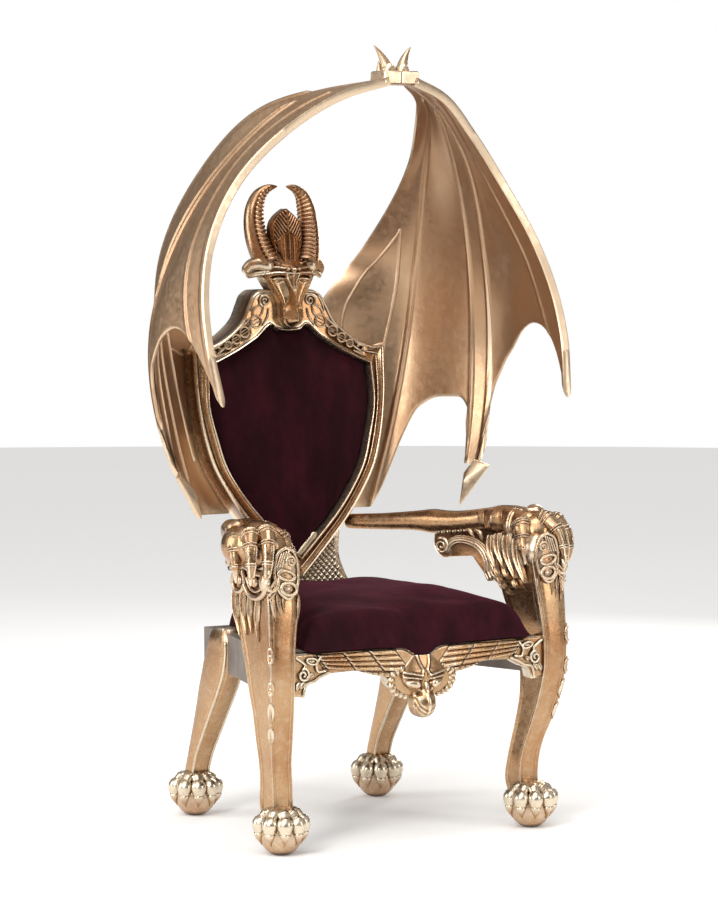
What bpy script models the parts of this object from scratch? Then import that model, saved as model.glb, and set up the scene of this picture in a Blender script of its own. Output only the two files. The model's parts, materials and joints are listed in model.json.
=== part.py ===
"""A carved throne: claw-footed legs, paw arms, a shield back with a horned head, and two wings.

Metres, +Z up, front towards -Y. The origin is under the middle of the object, on the floor.
Shapes are laid out from a line between the two front feet, and the whole is centred at the end.
"""
import math

import bmesh
import bpy
import numpy as np

# Fits
GAP = 0.0003              # clearance where two pieces meet
GROWTH = 0.00045          # how far a neighbour is grown before a seat is cut to fit it

# Feet and legs
FRONT_FOOT_X = 0.330      # middle of the throne to a front foot
REAR_FOOT_X = 0.249       # middle of the throne to a rear foot
FOOT_SPACING = 0.537      # front feet to rear feet
BALL_RADIUS = 0.048
FLAT_RADIUS = 0.014       # flat spot under each ball
TOE_RADIUS = 0.0125
FRONT_LEG_HEIGHT = 0.620
REAR_LEG_HEIGHT = 0.455

# Seat
RAIL_BOTTOM = 0.355
RAIL_TOP = 0.445
RAIL_THICKNESS = 0.030
REAR_RAIL_DEPTH = 0.060
CUSHION_TOP = 0.526
CUSHION_FRONT_HALF = 0.300
CUSHION_REAR_HALF = 0.222
CUSHION_OVERHANG = 0.060  # how far the cushion's rolled front stands before the front feet
APRON_THICKNESS = 0.034

# Arms
ARM_RISE = 0.072          # top of the front leg to the middle of the arm rail
ARM_WIDTH = 0.048
BRACKET_THICKNESS = 0.036

# Back
BACK_POINT_Z = 0.550      # lowest point of the shield frame
LEAN = 0.105              # how far the back leans for each metre of height
FRAME_DEPTH = 0.076
FRAME_WIDTH = 0.040       # width of the moulding at the sides
SHIELD_HALF = 0.258       # middle to the frame's top corner
SHIELD_HEIGHT = 0.538     # lowest point to the top corner
CREST_RISE = 0.136        # top corner to the shoulder of the crest plate
BOARD_THICKNESS = 0.012
PAD_RECESS = 0.014        # the pad's edge stands this far behind the frame's front
PAD_CROWN = 0.012         # how far the pad's middle stands before its edge
SPLAT_THICKNESS = 0.024
SPLAT_RECESS = 0.022      # the splat stands this far behind the frame's front
SPLAT_TOP = 0.102         # the splat reaches this far over the shield's point
HEAD_HEIGHT = 0.330       # tip of the muzzle to the tips of the horns
MUZZLE_DROP = 0.082       # the muzzle's tip hangs this far under the crest plate's top

# Wings
WING_SPAN = 0.475         # middle of the throne to the widest rib
WING_TOP = 1.692          # height at which the shells leave their top blocks
WING_CLEARANCE = 0.040    # a shell passes this far outside the shield's corner
WING_DRAWN_BACK = 0.462   # the back's place for which the ribs' points were drawn
SHELL_THICKNESS = 0.008
RIB_HEIGHT = 0.0035       # how far the ribs stand off the shell on each side
RIM_THICKNESS = 0.020     # the thick front edge
BLOCK_SIZE = (0.046, 0.062, 0.030)
CLAW_LENGTH = 0.062

BALL_CENTRE = math.sqrt(BALL_RADIUS ** 2 - FLAT_RADIUS ** 2)
ARM_HEIGHT = FRONT_LEG_HEIGHT + ARM_RISE
BACK_Y = FOOT_SPACING - 0.075    # front plane of the shield's low point


def material(name, colour, metallic, roughness):
    made = bpy.data.materials.new(name)
    made.use_nodes = True
    shader = made.node_tree.nodes["Principled BSDF"]
    shader.inputs["Base Color"].default_value = (*colour, 1)
    shader.inputs["Metallic"].default_value = metallic
    shader.inputs["Roughness"].default_value = roughness
    made.diffuse_color = (*colour, 1)
    return made


def clear_scene():
    for obj in list(bpy.data.objects):
        bpy.data.objects.remove(obj)


def make_object(name, points, faces, finish=None):
    """A closed mesh with its faces turned out."""
    mesh = bpy.data.meshes.new(name)
    mesh.from_pydata([tuple(map(float, p)) for p in points], [], faces)
    work = bmesh.new()
    work.from_mesh(mesh)
    bmesh.ops.triangulate(work, faces=work.faces)
    bmesh.ops.recalc_face_normals(work, faces=work.faces)
    work.to_mesh(mesh)
    work.free()
    obj = bpy.data.objects.new(name, mesh)
    bpy.context.scene.collection.objects.link(obj)
    if finish:
        mesh.materials.append(finish)
    return obj


def curve(points):
    """A smooth path through the points, as a function of 0 to 1 along their chords."""
    points = np.array(points, float)
    steps = np.linalg.norm(np.diff(points, axis=0), axis=1)
    knots = np.concatenate([[0], np.cumsum(steps)])
    knots /= knots[-1]
    return spline(knots, points)


def spline(knots, values):
    """Cubic pieces through the values at the knots, with slopes taken from the neighbours."""
    knots = np.array(knots, float)
    values = np.array(values, float)
    slopes = np.gradient(values, knots, axis=0)

    def at(t):
        t = float(min(max(t, knots[0]), knots[-1]))
        i = int(np.clip(np.searchsorted(knots, t, side="right") - 1, 0, len(knots) - 2))
        width = knots[i + 1] - knots[i]
        s = (t - knots[i]) / width
        return (
            (2 * s ** 3 - 3 * s ** 2 + 1) * values[i]
            + (s ** 3 - 2 * s ** 2 + s) * width * slopes[i]
            + (3 * s ** 2 - 2 * s ** 3) * values[i + 1]
            + (s ** 3 - s ** 2) * width * slopes[i + 1]
        )

    return at


def loft(name, rings, finish=None):
    """Skins rings of equal counts, first to last, and closes both ends."""
    count = len(rings[0])
    points = [p for ring in rings for p in ring]
    faces = []
    for r in range(len(rings) - 1):
        for i in range(count):
            j = (i + 1) % count
            low = r * count
            high = low + count
            faces.append((low + i, low + j, high + j, high + i))
    faces.append(tuple(range(count))[::-1])
    faces.append(tuple(len(points) - count + i for i in range(count)))
    return make_object(name, points, faces, finish)


def tube(name, points, radii, sides, flatten=1.0, across=(1, 0, 0)):
    """A tapered tube along points. Its section is flattened square to the across direction."""
    points = np.array(points, float)
    tangents = np.gradient(points, axis=0)
    rings = []
    for point, tangent, radius in zip(points, tangents, radii):
        tangent = tangent / np.linalg.norm(tangent)
        wide = np.array(across, float) - np.dot(across, tangent) * tangent
        wide /= np.linalg.norm(wide)
        tall = np.cross(tangent, wide)
        angles = [2 * math.pi * (i + 0.5) / sides for i in range(sides)]
        rings.append([
            point + radius * (math.cos(a) * wide + flatten * math.sin(a) * tall) for a in angles
        ])
    return loft(name, rings)


def spheroid(name, centre, sizes, sides=12, levels=7):
    """A closed ellipsoid without sharp poles, as rings from bottom to top."""
    rings = []
    for k in range(levels):
        polar = math.pi * (k + 0.35) / (levels - 0.3)
        rings.append([
            (
                centre[0] + sizes[0] * math.sin(polar) * math.cos(2 * math.pi * i / sides),
                centre[1] + sizes[1] * math.sin(polar) * math.sin(2 * math.pi * i / sides),
                centre[2] - sizes[2] * math.cos(polar),
            )
            for i in range(sides)
        ])
    return loft(name, rings)


def boolean(target, tool, operation):
    """EXACT leaves some of these curved crossings open, so MANIFOLD joins and cuts them."""
    modifier = target.modifiers.new(operation, "BOOLEAN")
    modifier.operation = operation
    modifier.solver = "MANIFOLD"
    modifier.object = tool


def bake(obj):
    """Writes the modifiers' result into the object's own mesh."""
    bpy.context.view_layer.update()
    graph = bpy.context.evaluated_depsgraph_get()
    mesh = bpy.data.meshes.new_from_object(obj.evaluated_get(graph))
    obj.modifiers.clear()
    obj.data = mesh
    work = bmesh.new()
    work.from_mesh(mesh)
    bmesh.ops.triangulate(work, faces=work.faces)
    work.to_mesh(mesh)
    work.free()


def union(name, shapes, finish):
    """Joins overlapping shapes into the first one."""
    body = shapes[0]
    for shape in shapes[1:]:
        boolean(body, shape, "UNION")
    bake(body)
    for shape in shapes[1:]:
        bpy.data.objects.remove(shape)
    body.name = name
    body.data.materials.clear()
    body.data.materials.append(finish)
    return body


def seat_against(piece, *neighbours):
    """Cuts the piece so that it meets each neighbour with a hair of clearance."""
    finish = piece.data.materials[0]
    tools = []
    for neighbour in neighbours:
        tool = neighbour.copy()
        tool.data = neighbour.data.copy()
        bpy.context.scene.collection.objects.link(tool)
        work = bmesh.new()
        work.from_mesh(tool.data)
        work.normal_update()
        for vertex in work.verts:
            vertex.co += vertex.normal * GROWTH * vertex.calc_shell_factor()
        work.to_mesh(tool.data)
        work.free()
        boolean(piece, tool, "DIFFERENCE")
        tools.append(tool)
    bake(piece)
    for tool in tools:
        bpy.data.objects.remove(tool)
    piece.data.materials.clear()
    piece.data.materials.append(finish)


def rounded_section(x_low, x_high, y_low, y_high, z, corner):
    """Eight points round a box section with cut corners."""
    cut_x = corner * (x_high - x_low)
    cut_y = corner * (y_high - y_low)
    return [
        (x_low + cut_x, y_low, z), (x_high - cut_x, y_low, z),
        (x_high, y_low + cut_y, z), (x_high, y_high - cut_y, z),
        (x_high - cut_x, y_high, z), (x_low + cut_x, y_high, z),
        (x_low, y_high - cut_y, z), (x_low, y_low + cut_y, z),
    ]


def leg_loft(name, foot, profile, height, levels):
    """Profile rows: share of height, then inner, outer, front and back from the foot's centre."""
    shape = spline([row[0] for row in profile], [row[1:] for row in profile])
    rings = []
    first, last = profile[0][0], profile[-1][0]
    for k in range(levels):
        share = first + (last - first) * k / (levels - 1)
        inner, outer, front, back = shape(share)
        x_ends = (foot[0] + inner, foot[0] + outer)
        y_ends = (foot[1] + front, foot[1] + back)
        rings.append(rounded_section(*x_ends, *y_ends, share * height, 0.2))
    return loft(name, rings)


def ball(name, x, y):
    """The ball under a claw, with a flat spot where it meets the floor."""
    lowest = math.asin(FLAT_RADIUS / BALL_RADIUS)
    rings = []
    for k in range(5):
        polar = lowest + (0.86 * math.pi - lowest) * k / 4
        rings.append([
            (
                x + BALL_RADIUS * math.sin(polar) * math.cos(math.pi * (i + 0.5) / 4),
                y + BALL_RADIUS * math.sin(polar) * math.sin(math.pi * (i + 0.5) / 4),
                BALL_CENTRE - BALL_RADIUS * math.cos(polar),
            )
            for i in range(8)
        ])
    return loft(name, rings)


TOE_ANGLES = (-105, -60, -20, 20, 60, 105)   # degrees round the ball from straight ahead
TOE_PATH = (                                 # polar angle, share of the ball's radius, thickness
    (24, 1.02, 1.0), (50, 1.12, 1.15), (82, 1.09, 0.95), (114, 1.03, 0.3),
)


def claw_foot(x, y):
    """The ball and the toes that grip it."""
    shapes = [ball("ball", x, y)]
    for angle in TOE_ANGLES:
        turn = math.radians(angle)
        path = []
        for polar, reach, _ in TOE_PATH:
            out = BALL_RADIUS * reach * math.sin(math.radians(polar))
            up = BALL_RADIUS * reach * math.cos(math.radians(polar))
            path.append((x + out * math.sin(turn), y - out * math.cos(turn), BALL_CENTRE + up))
        radii = [TOE_RADIUS * thick for _, _, thick in TOE_PATH]
        sideways = (math.cos(turn), math.sin(turn), 0)
        shapes.append(tube("toe", path, radii, 4, 1.0, sideways))
    return shapes


FRONT_LEG = (   # share of height, inner, outer, front, back
    (0.12, -0.028, 0.020, -0.010, 0.050), (0.17, -0.030, 0.020, -0.003, 0.060),
    (0.24, -0.029, 0.022, -0.002, 0.054), (0.32, -0.022, 0.029, -0.010, 0.047),
    (0.40, -0.015, 0.041, -0.028, 0.040), (0.50, -0.008, 0.052, -0.047, 0.036),
    (0.58, -0.004, 0.058, -0.059, 0.044), (0.68, -0.004, 0.060, -0.063, 0.060),
    (0.77, -0.009, 0.060, -0.060, 0.082), (0.87, -0.018, 0.060, -0.056, 0.105),
    (1.00, -0.024, 0.059, -0.042, 0.120),
)
REAR_LEG = (
    (0.17, -0.021, 0.021, -0.018, 0.018), (0.21, -0.023, 0.023, -0.025, 0.019),
    (0.31, -0.025, 0.024, -0.042, 0.004), (0.44, -0.027, 0.026, -0.082, -0.018),
    (0.57, -0.028, 0.027, -0.125, -0.037), (0.68, -0.029, 0.028, -0.162, -0.051),
    (0.77, -0.029, 0.029, -0.187, -0.067), (0.88, -0.029, 0.029, -0.199, -0.087),
    (0.96, -0.027, 0.027, -0.192, -0.107), (1.00, -0.021, 0.021, -0.177, -0.122),
)


def front_leg(name, finish):
    leg = leg_loft("leg", (FRONT_FOOT_X, 0), FRONT_LEG, FRONT_LEG_HEIGHT, 10)
    return union(name, [leg, *claw_foot(FRONT_FOOT_X, 0)], finish)


def rear_leg(name, finish):
    leg = leg_loft("leg", (REAR_FOOT_X, FOOT_SPACING), REAR_LEG, REAR_LEG_HEIGHT, 8)
    return union(name, [leg, *claw_foot(REAR_FOOT_X, FOOT_SPACING)], finish)


def arm_path():
    """Middle line of the right arm rail, from the shield's side to the wrist."""
    x = FRONT_FOOT_X
    y = BACK_Y
    z = ARM_HEIGHT
    _, outer = shield_outlines()
    sides = outer[:STATIONS_LOWER]
    root = float(np.interp(z - BACK_POINT_Z, [h for _, h in sides], [half for half, _ in sides]))
    root += 0.3 * ARM_WIDTH
    reach = x - root
    return curve([
        (root, y + 0.052, z - 0.020), (root + 0.25 * reach, y - 0.012, z - 0.018),
        (root + 0.55 * reach, y - 0.102, z - 0.012), (root + 0.80 * reach, y - 0.202, z - 0.009),
        (x - 0.001, 0.165, z - 0.002), (x + 0.018, 0.085, z + 0.001), (x + 0.022, 0.020, z - 0.002),
    ])


ARM_SWELL = spline(   # share along the arm, then half width and half height as shares
    (0.0, 0.25, 0.45, 0.62, 0.74, 0.80, 0.86, 1.0),
    [(0.42, 0.36), (0.46, 0.44), (0.55, 0.54), (0.54, 0.52), (0.62, 0.56), (0.72, 0.62),
     (0.80, 0.66), (0.98, 0.66)],
)
PAW_X = 0.024             # the paw's middle stands this far outside the front foot's
PAW_TOES = (   # from the inner toe outwards, from its knuckle to the tip of its talon:
    # right of the front foot, behind it, under the arm's middle line, radius
    ((0.006, 0.050, -0.012, 0.021), (-0.010, 0.020, 0.006, 0.019), (-0.021, 0.006, 0.032, 0.014),
     (-0.025, -0.004, 0.052, 0.010), (-0.025, -0.006, 0.080, 0.004)),
    ((0.026, 0.030, -0.016, 0.016), (0.038, -0.008, -0.012, 0.016), (0.050, -0.034, 0.014, 0.013),
     (0.058, -0.045, 0.045, 0.010), (0.066, -0.046, 0.092, 0.004)),
    ((0.056, 0.030, -0.010, 0.016), (0.072, 0.002, -0.007, 0.015), (0.082, -0.016, 0.018, 0.012),
     (0.086, -0.024, 0.048, 0.010), (0.085, -0.020, 0.091, 0.004)),
    ((0.066, 0.064, -0.002, 0.015), (0.089, 0.042, 0.004, 0.014), (0.098, 0.030, 0.030, 0.011),
     (0.099, 0.026, 0.056, 0.009), (0.096, 0.028, 0.088, 0.004)),
)


def arm(name, finish):
    """The rail, and the paw that lies over the top of the front leg."""
    path = arm_path()
    count = 11
    shares = [k / (count - 1) for k in range(count)]
    points = [path(s) for s in shares]
    tangents = np.gradient(np.array(points), axis=0)
    rings = []
    for share, point, tangent in zip(shares, points, tangents):
        half_width, half_height = ARM_SWELL(share) * ARM_WIDTH
        sideways = np.array((-tangent[1], tangent[0], 0)) / np.hypot(tangent[0], tangent[1])
        ring = []
        for i in range(8):
            angle = 2 * math.pi * i / 8
            across = half_width * math.copysign(abs(math.cos(angle)) ** 0.8, math.cos(angle))
            up = half_height * math.copysign(abs(math.sin(angle)) ** 0.8, math.sin(angle))
            ring.append(point + across * sideways + np.array((0, 0, up)))
        rings.append(ring)
    shapes = [loft("rail", rings)]
    palm_top = ARM_HEIGHT + 0.036
    palm_low = FRONT_LEG_HEIGHT - 0.010
    palm = (FRONT_FOOT_X + PAW_X, 0.018, (palm_top + palm_low) / 2)
    sizes = (0.058, 0.058, (palm_top - palm_low) / 2)
    shapes.append(spheroid("palm", palm, sizes, 10, 5))
    for joints in PAW_TOES:
        toe = [(FRONT_FOOT_X + x, y, ARM_HEIGHT - down) for x, y, down, _ in joints]
        shapes.append(tube("toe", toe, [joint[3] for joint in joints], 6))
    return union(name, shapes, finish)


def plate(name, outline, place, thickness):
    """Extrudes a flat outline: place(a, b, depth) gives the point for outline point (a, b)."""
    near = [place(a, b, 0) for a, b in outline]
    far = [place(a, b, thickness) for a, b in outline]
    return loft(name, [near, far])


BRACKET_OUTLINE = (   # distance behind the front leg's line, height under the arm's middle
    (0.095, -0.064), (0.100, -0.012), (0.272, 0.000), (0.290, -0.022), (0.300, -0.042),
    (0.300, -0.066), (0.288, -0.086), (0.270, -0.094), (0.256, -0.088), (0.252, -0.068),
    (0.240, -0.062), (0.224, -0.061), (0.200, -0.066), (0.180, -0.079), (0.167, -0.100),
    (0.165, -0.126), (0.154, -0.142), (0.140, -0.137), (0.130, -0.143), (0.121, -0.149),
    (0.108, -0.163), (0.095, -0.166),
)


def arm_bracket(name, finish):
    """A scrolled bracket under the arm. It bends in plan with the arm rail above it."""
    path = arm_path()
    samples = [path(k / 40) for k in range(41)][::-1]
    reach = [s[1] for s in samples]
    inward = [s[0] for s in samples]

    def place(behind, height, depth):
        x = float(np.interp(behind, reach, inward)) + depth - BRACKET_THICKNESS / 2
        return (x, behind, ARM_HEIGHT + height)

    shape = plate(name, BRACKET_OUTLINE, place, BRACKET_THICKNESS)
    shape.data.materials.append(finish)
    return shape


APRON_EDGE = (   # from the middle outwards: x, top as a share of the rail's top, bottom height
    (0.000, 0.974, 0.330), (0.042, 0.982, 0.332), (0.062, 0.988, 0.345), (0.078, 0.993, 0.358),
    (0.088, 0.995, 0.376), (0.125, 0.997, 0.386), (0.175, 0.998, 0.398), (0.235, 0.999, 0.396),
    (0.270, 0.999, 0.380), (0.292, 0.999, 0.372), (0.300, 0.999, 0.348), (0.345, 0.998, 0.352),
)
APRON_FRONT = 0.050       # the apron's face stands this far before the front feet


def front_apron(name, finish):
    """Carved front rail: raised feather tiers at each side and a beast mask in the middle."""
    half = [(x, top * RAIL_TOP, low) for x, top, low in APRON_EDGE]
    whole = [(-x, top, low) for x, top, low in half[:0:-1]] + half
    rings = []
    for x, top, low in whole:
        bulge = 0.006 * math.cos(min(abs(x) / 0.25, 1) * math.pi / 2)
        front = -APRON_FRONT - bulge
        rows = []
        for k, raised in enumerate((0.003, 0.0, 0.003, 0.0)):
            share = (k + 0.5) / 4
            rows.append((x, front + raised - 0.003, top + (low - top) * share))
        back = -APRON_FRONT + APRON_THICKNESS
        rings.append([(x, front, top), *rows, (x, front, low), (x, back, low), (x, back, top)])
    board = loft("board", rings)
    brow = spheroid("brow", (0, -0.058, 0.384), (0.062, 0.018, 0.018), 10, 4)
    muzzle = tube(
        "muzzle", [(0, -0.054, 0.392), (0, -0.0655, 0.360), (0, -0.0737, 0.325), (0, -0.066, 0.294)],
        (0.040, 0.046, 0.040, 0.022), 8, 0.4,
    )
    shapes = [board, brow, muzzle]
    for side in (-1, 1):
        centre = (side * 0.062, -0.048, 0.360)
        shapes.append(spheroid("fringe", centre, (0.026, 0.014, 0.032), 7, 4))
    return union(name, shapes, finish)


def box(name, low, high, finish=None):
    rings = []
    for z in (low[2], high[2]):
        rings.append([(low[0], low[1], z), (high[0], low[1], z), (high[0], high[1], z),
                      (low[0], high[1], z)])
    return loft(name, rings, finish)


def side_rail(name, finish):
    """A straight rail from the front leg back to the rear leg."""
    front = (FRONT_FOOT_X + 0.012, 0.030)
    rear = (REAR_FOOT_X + 0.001, FOOT_SPACING - 0.180)
    half = RAIL_THICKNESS / 2
    outline = [(front[0] - half, front[1]), (front[0] + half, front[1]),
               (rear[0] + half, rear[1]), (rear[0] - half, rear[1])]

    def place(x, y, height):
        return (x, y, RAIL_BOTTOM + height)

    shape = plate(name, outline, place, RAIL_TOP - RAIL_BOTTOM)
    shape.data.materials.append(finish)
    return shape


def rear_rail(name, finish):
    back = FOOT_SPACING - 0.037
    low = (-REAR_FOOT_X + 0.004, back - REAR_RAIL_DEPTH, RAIL_BOTTOM)
    return box(name, low, (-low[0], back, RAIL_TOP), finish)


CUSHION_ROWS = (   # share of depth, height as a share, width share
    (0.000, 0.30, 0.995), (0.012, 0.50, 1.000), (0.060, 0.82, 1.000), (0.160, 0.96, 1.000),
    (0.360, 1.00, 1.000), (0.650, 1.00, 1.000), (0.900, 0.97, 1.000), (1.000, 0.80, 0.990),
)


def seat_cushion(name, finish):
    """A closed pad whose front rolls down over the apron and dips at its middle."""
    front = -CUSHION_OVERHANG
    rear = BACK_Y - 0.030
    height = CUSHION_TOP - RAIL_TOP
    columns = 8
    rings = []
    for share, tall, wide in CUSHION_ROWS:
        y = front + (rear - front) * share
        half = wide * (CUSHION_FRONT_HALF + (CUSHION_REAR_HALF - CUSHION_FRONT_HALF) * share)
        bottom = RAIL_TOP + GAP
        top = RAIL_TOP + height * tall
        side_top = bottom + 0.78 * (top - bottom)
        ring = [(-half, y, bottom), (half, y, bottom), (half, y, side_top)]
        for k in range(1, columns):
            x = half * (1 - 2 * k / columns)
            crown = 1 - (x / half) ** 4
            ring.append((x, y, side_top + (top - side_top) * crown))
        ring.append((-half, y, side_top))
        rings.append(ring)
    return loft(name, rings, finish)


def back_place(x, height, depth):
    """A point of the leaning back: height over the shield's point, depth behind its front."""
    return (x, BACK_Y + LEAN * height + depth, BACK_POINT_Z + height)


LOWER_OUTER = ((0, 0), (0.26, 0.121), (0.505, 0.242), (0.69, 0.357), (0.845, 0.483), (0.935, 0.623),
               (0.985, 0.781), (1, 1))   # shares of the shield's half width and height
UPPER_OUTER = ((0.992, 1.0), (0.90, 0.995), (0.79, 0.935), (0.578, 0.70), (0.469, 0.50),
               (0.402, 0.25), (0.36, 0.10), (0.30, 0.02), (0.20, 0.0),
               (0.0, 0.0))   # shares of the half width and, downwards, of the crest's rise
STATIONS_LOWER = 11
STATIONS_UPPER = 10


def shield_outlines():
    """Half of the frame's inner and outer outlines, from the low point up to the top middle."""
    outer_path = curve([(x * SHIELD_HALF, h * SHIELD_HEIGHT) for x, h in LOWER_OUTER])
    crest = SHIELD_HEIGHT + CREST_RISE
    upper_path = curve([
        (x * SHIELD_HALF, crest - drop * CREST_RISE) for x, drop in UPPER_OUTER
    ])
    inset = FRAME_WIDTH
    corner = (SHIELD_HALF - inset, SHIELD_HEIGHT - inset)
    point = (0.0, 1.2 * inset)
    low_shape = [(x * corner[0], point[1] + h * (corner[1] - point[1])) for x, h in LOWER_OUTER]
    low_shape[-2] = (corner[0] * 1.012, low_shape[-2][1])
    inner_path = curve(low_shape)
    top_shape = [
        corner, (0.850 * corner[0], corner[1] + 0.012), (0.640 * corner[0], corner[1] + 0.033),
        (0.405 * corner[0], corner[1] + 0.062), (0.190 * corner[0], corner[1] + 0.091),
        (0.155 * corner[0], corner[1] + 0.084), (0.0, corner[1] + 0.078),
    ]
    top_path = curve(top_shape)
    inner = [inner_path(k / (STATIONS_LOWER - 1)) for k in range(STATIONS_LOWER)]
    outer = [outer_path(k / (STATIONS_LOWER - 1)) for k in range(STATIONS_LOWER)]
    inner += [top_path(k / STATIONS_UPPER) for k in range(1, STATIONS_UPPER + 1)]
    outer += [upper_path(k / STATIONS_UPPER) for k in range(1, STATIONS_UPPER + 1)]
    return inner, outer


def mirrored_loop(half):
    """Closes a half outline that starts and ends on the middle line."""
    return list(half) + [(-x, h) for x, h in half[-2:0:-1]]


FRAME_PROFILE = (   # share from the inner to the outer edge, depth behind the front plane
    (0.00, 0.014), (0.08, 0.003), (0.22, 0.005), (0.45, 0.014), (0.78, 0.001), (1.00, 0.010),
)


def back_frame(name, finish):
    """The moulded shield ring, whose top widens into the crest plate."""
    inner, outer = shield_outlines()
    inner = mirrored_loop(inner)
    outer = mirrored_loop(outer)
    profile = [*FRAME_PROFILE, (1.0, FRAME_DEPTH), (0.0, FRAME_DEPTH)]
    points = []
    for (xi, hi), (xo, ho) in zip(inner, outer):
        for share, depth in profile:
            points.append(back_place(xi + (xo - xi) * share, hi + (ho - hi) * share, depth))
    count = len(profile)
    stations = len(inner)
    faces = []
    for s in range(stations):
        t = (s + 1) % stations
        for i in range(count):
            j = (i + 1) % count
            faces.append((s * count + i, s * count + j, t * count + j, t * count + i))
    return make_object(name, points, faces, finish)


def shield_fill(name, front, back, inset, crown, finish):
    """A board or pad that fills the shield frame, from one depth to another."""
    inner, _ = shield_outlines()
    loop = np.array(mirrored_loop(inner))
    middle = np.array((0.0, loop[:, 1].mean()))
    rings = []
    levels = [(1.0, front)]
    if crown:
        levels += [(0.86, front - 0.6 * crown), (0.55, front - 0.95 * crown)]
    for share, depth in levels[::-1]:
        rings.append([back_place(*point, depth) for point in inset_loop(loop, inset, share, middle)])
    rings.append([back_place(*point, back) for point in inset_loop(loop, inset, 1.0, middle)])
    return loft(name, rings, finish)


def inset_loop(loop, inset, share, middle):
    """The outline moved in by a clearance and then drawn towards a middle point."""
    before = np.roll(loop, 1, axis=0)
    after = np.roll(loop, -1, axis=0)
    along = after - before
    outward = np.stack([along[:, 1], -along[:, 0]], axis=1)
    outward /= np.linalg.norm(outward, axis=1)[:, None]
    moved = loop - outward * inset
    return middle + (moved - middle) * share


def back_splat(name, finish):
    """The board that carries the shield's point on the rear rail, with hollowed sides."""
    bottom = RAIL_TOP + GAP - BACK_POINT_Z
    sides = spline((bottom, -0.04, 0.01, 0.045, 0.075, SPLAT_TOP),
                   [(0.172,), (0.150,), (0.126,), (0.115,), (0.116,), (0.120,)])
    heights = [bottom + (SPLAT_TOP - bottom) * k / 6 for k in range(7)]
    outline = [(float(sides(h)[0]), h) for h in heights]
    outline += [(-x, h) for x, h in outline[::-1]]

    def place(x, height, depth):
        return back_place(x, height, SPLAT_RECESS + depth)

    board = plate(name, outline, place, SPLAT_THICKNESS)
    board.data.materials.append(finish)
    return board


def shield_blank():
    """The whole shield as one thick block, used to trim what stops at its outer edge."""
    _, outer = shield_outlines()
    loop = inset_loop(np.array(mirrored_loop(outer)), -GAP, 1.0, np.zeros(2))
    rings = [[back_place(*point, depth) for point in loop] for depth in (-0.05, FRAME_DEPTH + 0.05)]
    return loft("blank", rings)


def trim(piece, blank):
    boolean(piece, blank, "DIFFERENCE")
    bake(piece)


HORN = curve([   # out from the middle, back from the front plane, share of the head's height
    (0.046, 0.004, 0.46), (0.070, 0.012, 0.52), (0.083, 0.018, 0.63), (0.085, 0.020, 0.74),
    (0.079, 0.018, 0.86), (0.062, 0.012, 0.940), (0.037, 0.006, 0.980), (0.012, 0.002, 0.985),
])


def crest_head(name, finish):
    """Horned dragon head. Heights are shares of its own height above the muzzle's tip."""
    base = SHIELD_HEIGHT + CREST_RISE - MUZZLE_DROP

    def at(x, out, share):
        px, py, pz = back_place(x, base + share * HEAD_HEIGHT, 0)
        return (px, py - out, pz)

    skull_rows = (   # share of height, half width, forward stand, back
        (-0.03, 0.012, 0.012, 0.012), (0.02, 0.020, 0.022, 0.012), (0.10, 0.024, 0.028, 0.012),
        (0.20, 0.029, 0.027, 0.012), (0.29, 0.052, 0.023, 0.020), (0.345, 0.070, 0.020, 0.030),
        (0.40, 0.074, 0.024, 0.034), (0.45, 0.070, 0.021, 0.036), (0.52, 0.056, 0.012, 0.032),
        (0.60, 0.040, 0.006, 0.022),
    )
    rings = []
    for share, half, out, back in skull_rows:
        ring = []
        for i in range(10):
            angle = 2 * math.pi * i / 10
            depth = out if math.sin(angle) > 0 else back
            ring.append(at(half * math.cos(angle), depth * math.sin(angle), share))
        rings.append(ring)
    shapes = [loft("skull", rings)]
    crown_rows = ((0.46, 0.044, 0.012), (0.58, 0.046, 0.015), (0.68, 0.036, 0.013),
                  (0.76, 0.026, 0.010), (0.84, 0.010, 0.005))
    shapes.append(loft("crown", [
        [at(half * math.cos(math.pi * i / 4), 0.004 + deep * math.sin(math.pi * i / 4), share)
         for i in range(8)]
        for share, half, deep in crown_rows
    ]))
    for side in (-1, 1):
        path = [HORN(k / 8) for k in range(9)]
        points = [at(side * x, -back, share) for x, back, share in path]
        radii = [0.023 * (1 - 0.78 * (k / 8) ** 1.5) for k in range(9)]
        shapes.append(tube("horn", points, radii, 6, 1.0, (0, 1, 0)))
        ear = [at(side * x, out, share) for x, out, share in
               ((0.050, 0.004, 0.36), (0.078, -0.002, 0.385), (0.104, -0.012, 0.405))]
        shapes.append(tube("ear", ear, (0.022, 0.016, 0.004), 6, 0.5, (0, 0, 1)))
    return union(name, shapes, finish)


WING_LOW = 0.700          # height of the ribs' lower ends, which stays as drawn


def scaled(points):
    """Wing points, drawn for one size, for the built span and top. What is near the back stays."""
    drawn_span = max(x for rib in WING_RIBS for x, _, _ in rib)
    drawn_top = max(z for rib in WING_RIBS for _, _, z in rib)
    still = SHIELD_HALF + WING_CLEARANCE
    span = (WING_SPAN - still) / (drawn_span - still)
    rise = (WING_TOP - WING_LOW) / (drawn_top - WING_LOW)
    depth = BACK_Y / WING_DRAWN_BACK
    return [
        (x + max(x - still, 0) * (span - 1), y * depth, WING_LOW + (z - WING_LOW) * rise)
        for x, y, z in points
    ]


def root_rib():
    """The rib behind the back. Its lower part follows the rear of the shield."""
    rib = scaled(WING_RIBS[-1][:5])
    for x, z in WING_ROOT:
        height = z - BACK_POINT_Z
        rib.append(back_place(x, height, FRAME_DEPTH + SHELL_THICKNESS / 2 + GAP))
    return rib


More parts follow.
